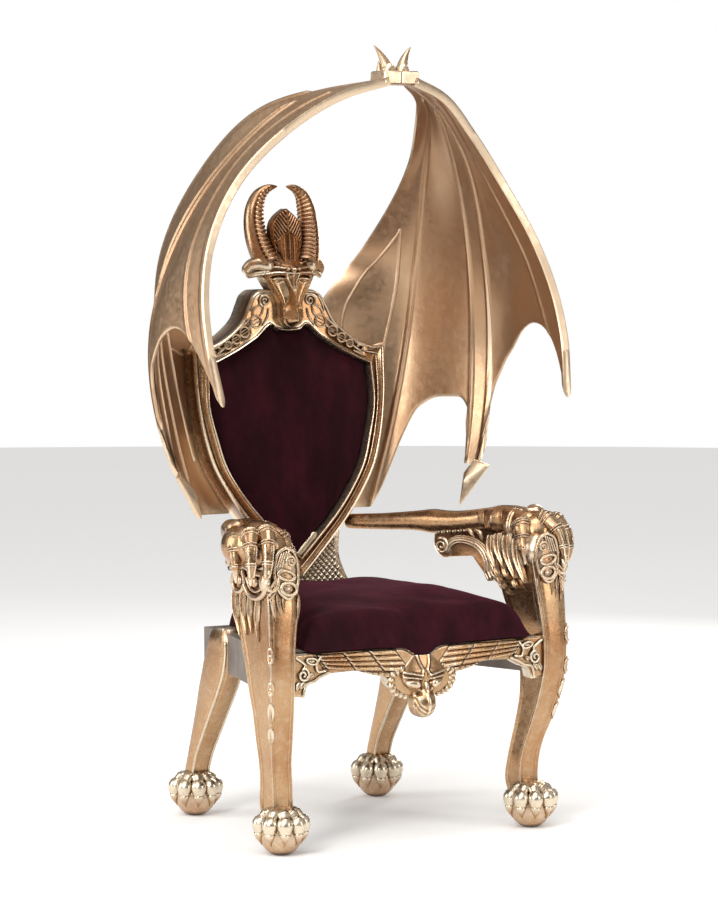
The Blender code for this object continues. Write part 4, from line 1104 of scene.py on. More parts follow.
TOE_ANGLES = (-105, -60, -20, 20, 60, 105)
FRONT_LEG = (
    (0.12, -0.028, 0.020, -0.010, 0.050), (0.17, -0.030, 0.020, -0.003, 0.060),
    (0.24, -0.029, 0.022, -0.002, 0.054), (0.32, -0.022, 0.029, -0.010, 0.047),
    (0.40, -0.015, 0.041, -0.028, 0.040), (0.50, -0.008, 0.052, -0.047, 0.036),
    (0.58, -0.004, 0.058, -0.059, 0.044), (0.68, -0.004, 0.060, -0.063, 0.060),
    (0.77, -0.009, 0.060, -0.060, 0.082), (0.87, -0.018, 0.060, -0.056, 0.105),
    (1.00, -0.024, 0.059, -0.042, 0.120),
)
REAR_LEG = (
    (0.17, -0.021, 0.021, -0.018, 0.018), (0.21, -0.023, 0.023, -0.025, 0.019),
    (0.31, -0.025, 0.024, -0.042, 0.004), (0.44, -0.027, 0.026, -0.082, -0.018),
    (0.57, -0.028, 0.027, -0.125, -0.037), (0.68, -0.029, 0.028, -0.162, -0.051),
    (0.77, -0.029, 0.029, -0.187, -0.067), (0.88, -0.029, 0.029, -0.199, -0.087),
    (0.96, -0.027, 0.027, -0.192, -0.107), (1.00, -0.021, 0.021, -0.177, -0.122),
)


def square_leg(foot, profile, height, power, concave, bead):
    """A leg's surface: place round it from 0 to 1, and height. Corners lie at the eighths."""
    shape = spline([row[0] * height for row in profile], [row[1:] for row in profile])

    def at(turn, z, lift=0.0):
        inner, outer, front, back = np.moveaxis(shape(z), -1, 0)
        middle = np.stack([foot[0] + (inner + outer) / 2, foot[1] + (front + back) / 2], axis=-1)
        a, b = (outer - inner) / 2, (back - front) / 2
        angle = 2 * math.pi * turn
        ca, sa = np.cos(angle), np.sin(angle)
        across = np.sign(ca) * np.abs(ca) ** (2 / power)
        back_of = np.sign(sa) * np.abs(sa) ** (2 / power)
        rel = np.stack([a * across, b * back_of], axis=-1)
        out = unit(np.stack([across * np.abs(across) ** 3 + ca * 0.4, back_of * np.abs(back_of) ** 3 + sa * 0.4], axis=-1))
        quarter = (turn * 4) % 1
        corner = np.abs(quarter - 0.5) * 2
        stand = bead * (np.exp(-(corner / 0.17) ** 2) + 0.40 * np.exp(-((corner - 0.40) / 0.07) ** 2))
        stand = stand - concave * smooth(corner * 1.6) ** 1.5
        flat = middle + rel + out * (stand + lift)[..., None]
        return np.concatenate([flat, np.broadcast_to(np.asarray(z, float)[..., None], flat[..., :1].shape)], axis=-1)

    return at


def claw_foot(bag, x, y):
    lowest = math.asin(FLAT_RADIUS / BALL_RADIUS)
    rings = []
    for polar in np.linspace(lowest, math.pi * 0.97, 34):
        a = 2 * math.pi * np.arange(44) / 44
        rings.append(np.stack([
            x + BALL_RADIUS * math.sin(polar) * np.cos(a), y + BALL_RADIUS * math.sin(polar) * np.sin(a),
            np.full(44, BALL_CENTRE - BALL_RADIUS * math.cos(polar))], axis=1))
    loft(bag, rings)
    for angle in TOE_ANGLES:
        turn = math.radians(angle)
        t = np.linspace(0, 1, 46)
        polar = np.radians(16 + 100 * t)
        lift = 1.04 + 0.10 * np.sin(math.pi * np.clip(t / 0.62, 0, 1)) - 0.03 * smooth((t - 0.6) / 0.4)
        out = BALL_RADIUS * lift * np.sin(polar)
        up = BALL_RADIUS * lift * np.cos(polar)
        path = np.stack([x + out * math.sin(turn), y - out * math.cos(turn), BALL_CENTRE + up], axis=1)
        thick = 0.0128 * (1 + 0.16 * bump(t, 0.20, 0.08) + 0.22 * bump(t, 0.48, 0.07) - 0.10 * bump(t, 0.34, 0.05))
        thick = thick * (1 - smooth((t - 0.66) / 0.34) * 0.88)
        for place in (0.42, 0.47, 0.52, 0.16, 0.22):
            thick = thick * (1 + 0.10 * bump(t, place, 0.012))
        thick = thick * (1 - 0.20 * bump(t, 0.665, 0.018))
        tube(bag, path, thick, 16, 0.95, (math.cos(turn), math.sin(turn), 0))
        for place in (0.40, 0.47, 0.54):
            i = int(place * 45)
            hoop = path[i - 1:i + 2]
            tube(bag, along(hoop, 4), thick[i] * 1.07, 16, 0.95, (math.cos(turn), math.sin(turn), 0))


def front_leg():
    bag = Bag()
    surface = square_leg((FRONT_FOOT_X, 0), FRONT_LEG, FRONT_LEG_HEIGHT, 5.0, 0.0034, 0.0042)
    z = np.linspace(0.12 * FRONT_LEG_HEIGHT, FRONT_LEG_HEIGHT, 120)
    turn = np.linspace(0, 1, 97)[:-1]
    rings = surface(turn[None, :] * np.ones((len(z), 1)), z[:, None] * np.ones((1, len(turn))))
    loft(bag, rings)
    claw_foot(bag, FRONT_FOOT_X, 0)
    corner = 0.875   # the outer front corner

    def on_corner(shift, height, lift=0.001):
        """Round the leg from that corner: shift in metres, towards the outer side when positive."""
        shift = np.asarray(shift, float)
        return surface(corner + shift / 0.40, np.asarray(height, float), np.full(shift.shape, lift))

    for z0, half_z, half_x in ((0.446, 0.0150, 0.0110), (0.374, 0.0125, 0.0125)):
        a = np.linspace(0, 2 * math.pi, 37)
        tube(bag, on_corner(half_x * np.cos(a), z0 + half_z * np.sin(a), 0.0026), 0.0036, 10)
        tube(bag, on_corner(np.linspace(-1.35, 1.35, 9) * half_x, np.full(9, z0) + 0.0 * a[:9], 0.0018), 0.0026, 10)
        tube(bag, on_corner(np.full(9, 0.0), z0 + np.linspace(-1.5, 1.5, 9) * half_z, 0.0012), 0.0024, 10)
        a = np.linspace(0, 2 * math.pi, 25)
        tube(bag, on_corner(0.5 * half_x * np.cos(a), z0 + 0.5 * half_z * np.sin(a), 0.0016), 0.0018, 8)
    for z0, size in ((0.322, 1.0), (0.270, 0.85)):
        for way in (-1, 1):
            path = curve([(0, z0 + 0.020 * size), (way * 0.010 * size, z0 + 0.008 * size),
                          (way * 0.012 * size, z0 - 0.010 * size), (way * 0.004 * size, z0 - 0.022 * size)])
            path = along(path(np.linspace(0, 1, 24)), 16)
            tube(bag, on_corner(path[:, 0], path[:, 1], 0.0022), 0.0038 * np.sin(math.pi * np.linspace(0.12, 0.95, 16)) + 0.0006, 8)
        tube(bag, on_corner(np.zeros(8), z0 + np.linspace(0.012, -0.026, 8) * size, 0.0010),
             np.linspace(0.0026, 0.0012, 8), 8)

    def on_front(x, height, lift=0.001):
        """A point of the front face from its place across and its height."""
        x = np.asarray(x, float)
        height = np.asarray(height, float)
        shape = spline([row[0] * FRONT_LEG_HEIGHT for row in FRONT_LEG], [row[3] for row in FRONT_LEG])
        y = shape(height) + 0.002 - lift
        return np.stack([x, np.broadcast_to(y, x.shape), np.broadcast_to(height, x.shape)], axis=-1)

    def on_inner(y, height, lift=0.001):
        """A point of the inner face from its place behind the foot's line and its height."""
        y = np.asarray(y, float)
        height = np.asarray(height, float)
        inner = spline([row[0] * FRONT_LEG_HEIGHT for row in FRONT_LEG], [row[1] for row in FRONT_LEG])
        x = FRONT_FOOT_X + inner(height) - 0.001 - lift
        return np.stack([np.broadcast_to(x, y.shape), y, np.broadcast_to(height, y.shape)], axis=-1)

    def on_side(y, height, lift=0.001):
        """A point of the outer face."""
        y = np.asarray(y, float)
        return np.stack([np.full(y.shape, FRONT_FOOT_X + 0.0585 + lift), y, np.asarray(height, float)], axis=-1)

    blob(bag, (0.350, 0.040, 0.630), (0.037, 0.070, 0.038), sides=36, levels=22)
    blob(bag, (0.336, -0.012, 0.632), (0.036, 0.034, 0.044), sides=36, levels=22)

    # Medallion under the paw: hatched top, spiral, lens ring and oval ring
    plate = curve([(0.343, 0.676), (0.326, 0.668), (0.315, 0.645), (0.313, 0.615), (0.322, 0.583), (0.341, 0.567),
                   (0.361, 0.580), (0.371, 0.612), (0.370, 0.643), (0.361, 0.667), (0.343, 0.676)])
    edge = along(plate(np.linspace(0, 1, 120)), 72)
    tube(bag, on_front(edge[:, 0], edge[:, 1], 0.005), 0.0038, 10)
    middle = np.array((0.3425, 0.620))
    rings = []
    for share, lift in ((1.0, -0.008), (1.0, 0.002), (0.93, 0.0025), (0.75, 0.0050), (0.4, 0.0070), (0.1, 0.0075)):
        loop = middle + (edge[:-1] - middle) * share
        rings.append(on_front(loop[:, 0], loop[:, 1], lift))
    loft(bag, rings)
    a = np.linspace(0, 2 * math.pi, 41)
    for x0, z0, half_x, half_z, tilt in ((0.3440, 0.6170, 0.0200, 0.0100, 0.20), (0.3405, 0.5880, 0.0190, 0.0130, 0.10)):
        ring_x = x0 + half_x * np.cos(a)
        tube(bag, on_front(ring_x, z0 + half_z * np.sin(a) + tilt * (ring_x - x0), 0.0085), 0.0040, 10)
        ring_x = x0 + 0.45 * half_x * np.cos(a)
        tube(bag, on_front(ring_x, z0 + 0.35 * half_z * np.sin(a) + tilt * (ring_x - x0), 0.0060), 0.0018, 8)
    scroll = spin((0.3310, 0.6465), math.radians(-20), 1.6, 0.0125, 0.002, 44)
    tube(bag, on_front(scroll[:, 0], scroll[:, 1], 0.0080), 0.0034, 10)
    for k in range(4):
        x0 = 0.3430 + 0.0062 * k
        tube(bag, on_front(np.linspace(x0 - 0.007, x0 + 0.004, 8), np.linspace(0.670 - 0.002 * k, 0.636, 8), 0.0066), 0.0024, 8)

    # Folds beside the medallion and husks on the front face
    for k in range(3):
        fold = along(curve([(0.362, 0.628 - 0.012 * k), (0.371, 0.606 - 0.011 * k), (0.388, 0.586 - 0.010 * k)])(
            np.linspace(0, 1, 24)), 18)
        tube(bag, on_front(fold[:, 0], fold[:, 1], 0.0030), 0.0034 - 0.0004 * k, 10)
    swag = along(curve([(0.361, 0.612), (0.368, 0.592), (0.382, 0.585), (0.393, 0.600)])(np.linspace(0, 1, 24)), 20)
    tube(bag, on_front(swag[:, 0], swag[:, 1], 0.0045), 0.0046, 12)
    for start, bend, end, wide in (((0.376, 0.590), (0.379, 0.560), (0.374, 0.520), 0.0055),
                                   ((0.366, 0.585), (0.366, 0.560), (0.361, 0.530), 0.0045),
                                   ((0.313, 0.575), (0.316, 0.548), (0.320, 0.518), 0.0040),
                                   ((0.350, 0.578), (0.353, 0.556), (0.351, 0.535), 0.0040)):
        leaf = np.array((start, bend, end))
        petal(bag, on_front(leaf[:, 0], leaf[:, 1], -0.0005), wide, 0.0042, (0.0, -1, 0), 0.45, 16)

    # Carving on the outer side of the leg's head: a draped swag with a bead, a loop behind it, and husks
    drape = along(curve([(-0.047, 0.604), (-0.036, 0.582), (-0.016, 0.569), (0.010, 0.566), (0.034, 0.573), (0.052, 0.590)])(
        np.linspace(0, 1, 40)), 34)
    tube(bag, on_side(drape[:, 0], drape[:, 1], 0.0020), 0.0066, 14)
    drape = along(curve([(-0.036, 0.608), (-0.018, 0.586), (0.008, 0.580), (0.030, 0.588), (0.042, 0.606)])(np.linspace(0, 1, 40)), 30)
    tube(bag, on_side(drape[:, 0], drape[:, 1], 0.0022), 0.0036, 10)
    blob(bag, on_side(np.array([0.008]), np.array([0.600]), 0.002)[0], (0.0075, 0.0140, 0.0120), sides=22, levels=14)
    loop = along(curve([(0.060, 0.618), (0.052, 0.596), (0.064, 0.578), (0.086, 0.574), (0.104, 0.588), (0.100, 0.608), (0.080, 0.620)])(
        np.linspace(0, 1, 50)), 40)
    tube(bag, on_side(loop[:, 0], loop[:, 1], 0.0018), 0.0052, 12)
    blob(bag, on_side(np.array([0.079]), np.array([0.598]), 0.001)[0], (0.0060, 0.0130, 0.0110), sides=20, levels=12)
    for y0, z0, y1, z1, wide in ((0.100, 0.576, 0.074, 0.474, 0.0130), (0.062, 0.580, 0.046, 0.480, 0.0120),
                                 (0.030, 0.566, 0.022, 0.486, 0.0105), (-0.004, 0.562, -0.006, 0.470, 0.0100)):
        husk = np.array(((y0, z0), ((y0 + y1) / 2 + 0.005, (z0 + z1) / 2), (y1, z1)))
        acanthus(bag, on_side(husk[:, 0], husk[:, 1], -0.0015), wide, 0.0062, (1, 0, 0))

    blob(bag, (0.390, -0.034, 0.604), (0.010, 0.018, 0.026), sides=20, levels=14)
    fold = along(curve([(-0.052, 0.626), (-0.020, 0.618), (0.020, 0.622), (0.062, 0.632)])(np.linspace(0, 1, 30)), 24)
    tube(bag, on_side(fold[:, 0], fold[:, 1], 0.0), 0.0060, 12)

    # Acanthus tongues on the inner side, which run on from the bracket behind it
    for y0, z0, y1, z1, wide in ((0.120, 0.662, 0.102, 0.586, 0.0160), (0.092, 0.668, 0.070, 0.592, 0.0170),
                                 (0.056, 0.668, 0.026, 0.570, 0.0190), (0.018, 0.662, -0.014, 0.562, 0.0180)):
        blade = np.array(((y0, z0), ((y0 + y1) / 2 + 0.006, (z0 + z1) / 2), (y1, z1)))
        acanthus(bag, on_inner(blade[:, 0], blade[:, 1], 0.0010), wide, 0.0100, (-1, 0, 0), blunt=1.0)
    for y0, z0, y1, z1, wide in ((0.110, 0.590, 0.082, 0.566, 0.0085), (0.100, 0.572, 0.066, 0.556, 0.0080),
                                 (0.086, 0.556, 0.046, 0.546, 0.0080), (0.072, 0.542, 0.022, 0.538, 0.0075),
                                 (0.074, 0.590, 0.050, 0.566, 0.0080), (0.040, 0.566, 0.012, 0.548, 0.0075)):
        stroke = np.array(((y0, z0), ((y0 + y1) / 2 + 0.002, (z0 + z1) / 2 - 0.005), (y1, z1)))
        acanthus(bag, on_inner(stroke[:, 0], stroke[:, 1], -0.001), wide, 0.0060, (-1, 0, 0))
    return bag


def rear_leg():
    bag = Bag()
    surface = square_leg((REAR_FOOT_X, FOOT_SPACING), REAR_LEG, REAR_LEG_HEIGHT, 3.0, 0.0006, 0.0016)
    z = np.linspace(0.17 * REAR_LEG_HEIGHT, REAR_LEG_HEIGHT, 70)
    turn = np.linspace(0, 1, 65)[:-1]
    rings = surface(turn[None, :] * np.ones((len(z), 1)), z[:, None] * np.ones((1, len(turn))))
    loft(bag, rings)
    claw_foot(bag, REAR_FOOT_X, FOOT_SPACING)
    for place in (0.875, 0.625):
        ridge = surface(np.full(40, place), np.linspace(0.20 * REAR_LEG_HEIGHT, 0.93 * REAR_LEG_HEIGHT, 40))
        tube(bag, ridge, 0.0034, 8)
    return bag


pair("front_leg", front_leg(), GOLD, flat_angle=55)
pair("rear_leg", rear_leg(), GOLD, flat_angle=55)


# Arms and paws

def half_at(height):
    return float(np.interp(height, OUTER[:90, 1], OUTER[:90, 0]))


def arm_path():
    x = FRONT_FOOT_X
    y = BACK_Y
    z = ARM_HEIGHT
    root = half_at(z - BACK_POINT_Z) + 0.3 * ARM_WIDTH
    reach = x - root
    return curve([
        (root, y + 0.052, z - 0.020), (root + 0.25 * reach, y - 0.012, z - 0.018),
        (root + 0.55 * reach, y - 0.102, z - 0.012), (root + 0.80 * reach, y - 0.202, z - 0.009),
        (x + 0.002, 0.165, z + 0.003), (x + 0.020, 0.100, z + 0.006), (x + 0.022, 0.020, z - 0.004),
    ])


ARM_SWELL = spline(
    (0.0, 0.25, 0.45, 0.62, 0.74, 0.80, 0.86, 1.0),
    [(0.42, 0.36), (0.46, 0.44), (0.55, 0.54), (0.54, 0.52), (0.62, 0.56), (0.72, 0.62),
     (0.80, 0.66), (0.98, 0.66)],
)


PAW_TOES = (   # from the inner toe outwards: right of the front foot, behind it, under the arm, radius
    ((0.004, 0.052, -0.010, 0.0245), (-0.009, 0.020, 0.008, 0.0240), (-0.018, 0.004, 0.034, 0.0195),
     (-0.0225, -0.006, 0.058, 0.0160), (-0.024, -0.012, 0.082, 0.0070)),
    ((0.024, 0.034, -0.013, 0.0185), (0.038, -0.006, -0.010, 0.0190), (0.050, -0.032, 0.013, 0.0155),
     (0.058, -0.044, 0.052, 0.0120), (0.064, -0.046, 0.096, 0.0030)),
    ((0.054, 0.034, -0.008, 0.0180), (0.072, 0.004, -0.006, 0.0185), (0.082, -0.014, 0.017, 0.0150),
     (0.086, -0.022, 0.055, 0.0118), (0.085, -0.018, 0.095, 0.0030)),
    ((0.062, 0.066, -0.004, 0.0170), (0.084, 0.044, 0.002, 0.0170), (0.094, 0.034, 0.028, 0.0135),
     (0.096, 0.028, 0.060, 0.0105), (0.094, 0.030, 0.092, 0.0030)),
)


def arm():
    bag = Bag()
    path = arm_path()
    t = np.linspace(0, 0.985, 150)
    points = path(t)
    tangents = np.gradient(points, axis=0)
    sides = unit(np.stack([-tangents[:, 1], tangents[:, 0], 0 * t], axis=1))
    swell = ARM_SWELL(t) * ARM_WIDTH
    elbow = 0.0030 * bump(t, 0.42, 0.05)
    rings = []
    angle = 2 * math.pi * np.arange(44) / 44
    behind = points[:, 1]
    for k in range(len(t)):
        sideways = np.abs(np.cos(angle)) ** 1.5
        muscle = (0.0068 * bump(behind[k], 0.140, 0.014) - 0.0050 * bump(behind[k], 0.170, 0.010)
                  - 0.0062 * bump(behind[k], 0.108, 0.012)) * sideways
        half_width = swell[k, 0] + muscle
        half_height = swell[k, 1] + elbow[k] + 0.0022 * bump(behind[k], 0.140, 0.02)
        across = half_width * np.sign(np.cos(angle)) * np.abs(np.cos(angle)) ** 0.85
        up = half_height * np.sign(np.sin(angle)) * np.abs(np.sin(angle)) ** 0.85
        rings.append(points[k] + across[:, None] * sides[k] + np.stack([0 * up, 0 * up, up], axis=1))
    loft(bag, rings)
    blob(bag, (0.354, 0.058, 0.690), (0.052, 0.058, 0.038), sides=36, levels=22)
    blob(bag, (0.358, 0.022, 0.668), (0.050, 0.048, 0.048), sides=36, levels=22)
    blob(bag, (0.398, 0.056, 0.676), (0.040, 0.052, 0.044), sides=32, levels=18)
    blob(bag, (0.396, 0.082, 0.712), (0.022, 0.026, 0.020), sides=24, levels=14)
    rosette = spin((0.398, 0.074), 0.6, 1.6, 0.017, 0.003, 44)
    cap = 0.7262 - 18.0 * (rosette[:, 0] - 0.396) ** 2 - 16.0 * (rosette[:, 1] - 0.082) ** 2
    tube(bag, np.stack([rosette[:, 0], rosette[:, 1], cap], axis=1), 0.0030, 8)
    for number, joints in enumerate(PAW_TOES):
        joints = np.array(joints)
        line = np.stack([FRONT_FOOT_X + joints[:, 0], joints[:, 1], ARM_HEIGHT - joints[:, 2]], axis=1)
        reach = np.concatenate([[0], np.cumsum(np.linalg.norm(np.diff(line, axis=0), axis=1))])
        places = reach / reach[-1]
        count = 96
        s = np.linspace(0, 1, count)
        smooth_line = along(curve(line)(np.linspace(0, 1, 160)), count)
        radii = steady(places, joints[:, 3])(s)
        knuckle, second, third = places[1:4]
        radii = radii * (1 + 0.05 * bump(s, knuckle, 0.05) - 0.04 * bump(s, (knuckle + second) / 2, 0.05)
                         + 0.04 * bump(s, second, 0.04) - 0.05 * bump(s, (second + third) / 2 + 0.02, 0.05))
        radii = radii * (1 - 0.10 * smooth((s - third) / 0.03) * (1 - smooth((s - third - 0.03) / 0.2)))
        tube(bag, smooth_line, radii, 22)
        for place, gap in ((knuckle, 0.040), (second, 0.034), (third, 0.030)):
            for shift in (-gap, 0.0, gap)[:3 if place == knuckle else 2]:
                i = int(np.clip((place + shift) * (count - 1), 2, count - 3))
                tube(bag, along(smooth_line[i - 1:i + 1], 3), radii[i] * 1.04 + 0.0022, 22, round_ends=False)
        front = unit(np.array((0.25, -1.0, 0.25)))
        low, high = int(second * (count - 1)) + 2, int((third + 0.16) * (count - 1))
        shaft = smooth_line[low:high]
        step = unit(np.gradient(shaft, axis=0))
        facing = unit(front - (step @ front)[:, None] * step)
        beside = np.cross(step, facing)
        for way in (-1, 1) if number in (1, 2) else ():
            offset = radii[low:high, None] * (0.78 * facing + way * 0.60 * beside)
            tube(bag, shaft + offset, 0.0030, 8)
        tendon = along(curve([smooth_line[int(0.12 * count)] + (0, 0.045, 0.006), smooth_line[int(0.10 * count)] + (0, 0.018, 0.009),
                              smooth_line[int(knuckle * count)] + (0, 0.010, 0.010)])(np.linspace(0, 1, 24)), 20)
        tube(bag, tendon, 0.0050, 10)
    crescent = along(curve([(0.330, 0.066, 0.723), (0.312, 0.060, 0.712), (0.303, 0.056, 0.690), (0.306, 0.052, 0.668)])(
        np.linspace(0, 1, 30)), 24)
    for shift in (0.0, -0.010):
        tube(bag, crescent + (-0.0006, shift, 0.0), 0.0044, 10)
    return bag


pair("arm", arm(), GOLD, voxel=0.0013, rounds=1)


# Arm brackets

BRACKET_OUTLINE = (   # distance behind the front leg's line, height under the arm's middle
    (0.300, -0.040), (0.300, -0.066), (0.288, -0.086), (0.270, -0.094), (0.257, -0.088), (0.252, -0.068),
    (0.240, -0.061), (0.224, -0.060), (0.200, -0.065), (0.180, -0.078), (0.167, -0.100),
    (0.165, -0.126), (0.156, -0.142), (0.146, -0.141), (0.136, -0.136), (0.128, -0.143), (0.121, -0.150),
    (0.108, -0.163), (0.095, -0.168),
)
BRACKET_ARCH = ((0.262, -0.080), (0.253, -0.064), (0.240, -0.0565), (0.224, -0.0555), (0.200, -0.0605), (0.180, -0.0735),
                (0.1665, -0.096), (0.163, -0.124), (0.156, -0.137))


def bracket():
    bag = Bag()
    path = arm_path()
    samples = path(np.linspace(0, 1, 61))[::-1]

    def at(behind, height, across):
        behind, height, across = np.broadcast_arrays(behind, height, across)
        x = np.interp(behind, samples[:, 1], samples[:, 0]) + across
        return np.stack([x, behind, ARM_HEIGHT + height], axis=-1)

    lower = along(curve(BRACKET_OUTLINE)(np.linspace(0, 1, 200)), 130)
    upper = np.array([(0.095, -0.100), (0.095, -0.030), (0.100, -0.014), (0.200, -0.010), (0.275, -0.008), (0.292, -0.022)])
    loop = np.concatenate([lower, along(upper, 24)])
    rings = []
    for across, pull in ((-0.0165, 0.0035), (-0.0180, 0.0012), (-0.014, 0.0), (0.014, 0.0), (0.0180, 0.0012), (0.0165, 0.0035)):
        before, after = np.roll(loop, 1, axis=0), np.roll(loop, -1, axis=0)
        step = after - before
        outward = unit(np.stack([step[:, 1], -step[:, 0]], axis=1))
        if ((loop - loop.mean(0)) * outward).sum() < 0:
            outward = -outward
        moved = loop - outward * pull
        rings.append(at(moved[:, 0], moved[:, 1], across))
    loft(bag, rings)
    arch = along(curve(BRACKET_ARCH)(np.linspace(0, 1, 100)), 70)
    step = np.gradient(arch, axis=0)
    normal = unit(np.stack([-step[:, 1], step[:, 0]], axis=1))
    if normal[35] @ (np.array((0.15, -0.02)) - arch[35]) < 0:
        normal = -normal
    for face in (-1, 1):
        for shift, thick in ((0.0, 0.0036), (0.0085, 0.0046), (0.0165, 0.0030), (0.0225, 0.0024)):
            moved = arch + normal * shift * np.linspace(0.55, 1.0, 70)[:, None]
            tube(bag, at(moved[:, 0], moved[:, 1], face * 0.0176), thick, 10)
        volute = spin((0.2800, -0.0665), math.radians(75), 1.7, 0.0190, 0.003, 50)
        tube(bag, at(volute[:, 0], volute[:, 1], face * 0.0180), np.linspace(0.0046, 0.0032, 50), 10)
        out = (face, 0, 0)
        leaves = (
            ((0.158, -0.034), (0.148, -0.066), (0.144, -0.104), 0.0100), ((0.138, -0.030), (0.128, -0.070), (0.122, -0.120), 0.0105),
            ((0.118, -0.030), (0.108, -0.072), (0.104, -0.128), 0.0100), ((0.150, -0.096), (0.142, -0.116), (0.136, -0.130), 0.0060),
            ((0.140, -0.118), (0.124, -0.132), (0.104, -0.140), 0.0060), ((0.134, -0.130), (0.118, -0.144), (0.100, -0.152), 0.0055),
            ((0.128, -0.140), (0.114, -0.154), (0.098, -0.164), 0.0050), ((0.196, -0.022), (0.180, -0.030), (0.172, -0.050), 0.0065),
            ((0.216, -0.020), (0.204, -0.028), (0.194, -0.042), 0.0055),
        )
        for a, b, c, wide in leaves:
            pts = np.array((a, b, c))
            petal(bag, at(pts[:, 0], pts[:, 1], face * 0.0168), wide, 0.0066, out, 0.45, 18)
        for k in range(6):
            y0 = 0.292 - 0.0145 * k
            curl = spin((y0, -0.034 + 0.0018 * k), math.radians(40), 0.9, 0.0068, 0.002, 20)
            tube(bag, at(curl[:, 0], curl[:, 1], face * 0.0176), np.linspace(0.0036, 0.0026, 20), 8)
    return bag


pair("arm_bracket", bracket(), GOLD, flat_angle=45)


# Front apron

APRON_EDGE = (
    (0.000, 0.939, 0.330), (0.020, 0.955, 0.331), (0.042, 0.983, 0.332), (0.062, 0.993, 0.345), (0.078, 0.993, 0.358),
    (0.088, 0.995, 0.376), (0.125, 0.997, 0.386), (0.175, 0.998, 0.398), (0.235, 0.999, 0.396),
    (0.270, 0.999, 0.380), (0.292, 0.999, 0.372), (0.300, 0.999, 0.348), (0.335, 0.998, 0.352),
)
APRON_FRONT = 0.050
APRON_THICKNESS = 0.034


# Seat cushion, which follows the apron's top edge

def seat_pad():
    """A rounded pad that narrows backwards, with a rolled front that dips at its middle."""
    front = -0.058
    rear = BACK_Y - 0.030
    nx, ny, nz = 96, 72, 14
    bag = Bag()
    r = 0.072
    low, high = RAIL_TOP + 0.0006, 0.524
    faces = []
    cells = {}
    points = []

    def corner(i, j, k):
        key = (i, j, k)
        if key not in cells:
            cells[key] = len(points)
            points.append((i / nx * 2 - 1, j / ny, k / nz))
        return cells[key]

    for i in range(nx):
        for j in range(ny):
            for k in (0, nz):
                faces.append((corner(i, j, k), corner(i + 1, j, k), corner(i + 1, j + 1, k), corner(i, j + 1, k)))
    for i in range(nx):
        for k in range(nz):
            for j in (0, ny):
                faces.append((corner(i, j, k), corner(i + 1, j, k), corner(i + 1, j, k + 1), corner(i, j, k + 1)))
    for j in range(ny):
        for k in range(nz):
            for i in (0, nx):
                faces.append((corner(i, j, k), corner(i, j + 1, k), corner(i, j + 1, k + 1), corner(i, j, k + 1)))
    raw = np.array(points)
    a, b, c = raw.T
    half = 0.297 + (0.220 - 0.297) * b
    x = a * half
    y = front + (rear - front) * b
    z = low + (high - low) * c
    over_front = 0.046
    near = np.clip((front + over_front - y) / over_front, 0, 1)
    drop = np.where(c > 0, near ** 2 * 0.038 * c, 0)
    side = np.clip((np.abs(x) - (half - r)) / r, 0, 1)
    drop = drop + np.where(c > 0.0, (1 - np.sqrt(np.maximum(1 - side ** 2, 0))) * 0.040 * c, 0)
    x = x - np.sign(x) * np.maximum(c - 0.55, 0) / 0.45 * side * 0.006
    y = y + near * np.maximum(c - 0.5, 0) * 0.010
    rear_near = np.clip((y - (rear - 0.03)) / 0.03, 0, 1)
    drop = drop + rear_near ** 2 * 0.012 * c
    crown = 0.0255 * (1 - (x / 0.30) ** 4) * smooth((y + 0.05) / 0.22) * c
    edge_top = steady([row[0] for row in APRON_EDGE], [row[1] * RAIL_TOP for row in APRON_EDGE])(np.abs(x))
    hang = (RAIL_TOP - edge_top) * smooth((-0.030 - y) / 0.020)
    dip = 0.014 * np.exp(-((x / 0.060) ** 2)) * np.clip((0.02 - y) / 0.08, 0, 1) * c
    wave = 0.0016 * np.sin(x * 31 + 2.0 * np.sin(y * 17)) * np.sin(y * 23 + 1.3) * c
    z = z - drop + crown - 0.006 - dip + wave
    z = np.maximum(z, low) - hang * (1 - 0.75 * c)
    bulge = np.sin(math.pi * np.clip(c, 0, 1)) * 0.0035
    y = y - bulge * (b < 1e-6)
    bag.add(np.stack([x, y, z], axis=1), faces)
    return bag


def stuff_seat(obj):
    swell(obj, 0.006, 0.008, lambda points: 1 - smooth((points[:, 2] - RAIL_TOP - 0.004) / 0.03))


seat = piece("seat_cushion_velvet", seat_pad(), VELVET, ["seat_cushion"], flat_angle=70, shape=stuff_seat)


def apron_relief(x, z, top, low):
    """Height of the carving on the apron's face."""
    ax = np.abs(x)
    # Feathers: four rows that fan out towards the middle, in three tiers with slanted ends
    upper = 0.4405 + 0.0 * ax
    lower = np.interp(ax, (0.05, 0.10, 0.20, 0.262), (0.389, 0.393, 0.401, 0.409))
    row = (upper - z) / (upper - lower) * 4
    slant = ax - (z - 0.40) * 0.80
    inside = smooth((slant - 0.040) / 0.002) * (1 - smooth((slant - 0.243) / 0.002))
    inside = inside * smooth((upper - z) / 0.0015) * smooth((z - lower) / 0.0015)
    rib = np.abs((row % 1) - 0.5) * 2
    feather = 0.0052 * (1 - rib ** 4) + 0.0014
    tier = ((slant - 0.040) / 0.0665) % 1
    feather = feather * (0.70 + 0.30 * smooth(tier * 1.0))
    notch = np.minimum(bump(tier, 0.0, 0.035) + bump(tier, 1.0, 0.035), 1)
    feather = feather * (1 - 0.85 * notch)
    quill = 0.0010 * bump(rib, 0.0, 0.20)
    height = inside * (feather + quill)
    # Fringe of small curls under the feathers
    under = inside * 0
    curl = np.abs(((ax - 0.084) / 0.0150) % 1 - 0.5) * 2
    zone = smooth((ax - 0.084) / 0.003) * (1 - smooth((ax - 0.182) / 0.003))
    depth = (lower - 0.0015 - z) / 0.012
    under = zone * smooth(depth * 6) * (1 - smooth((depth - 0.85) / 0.15)) * (0.0042 * np.sqrt(np.maximum(1 - curl ** 2, 0)) + 0.0008)
    height = np.maximum(height, under)
    return height


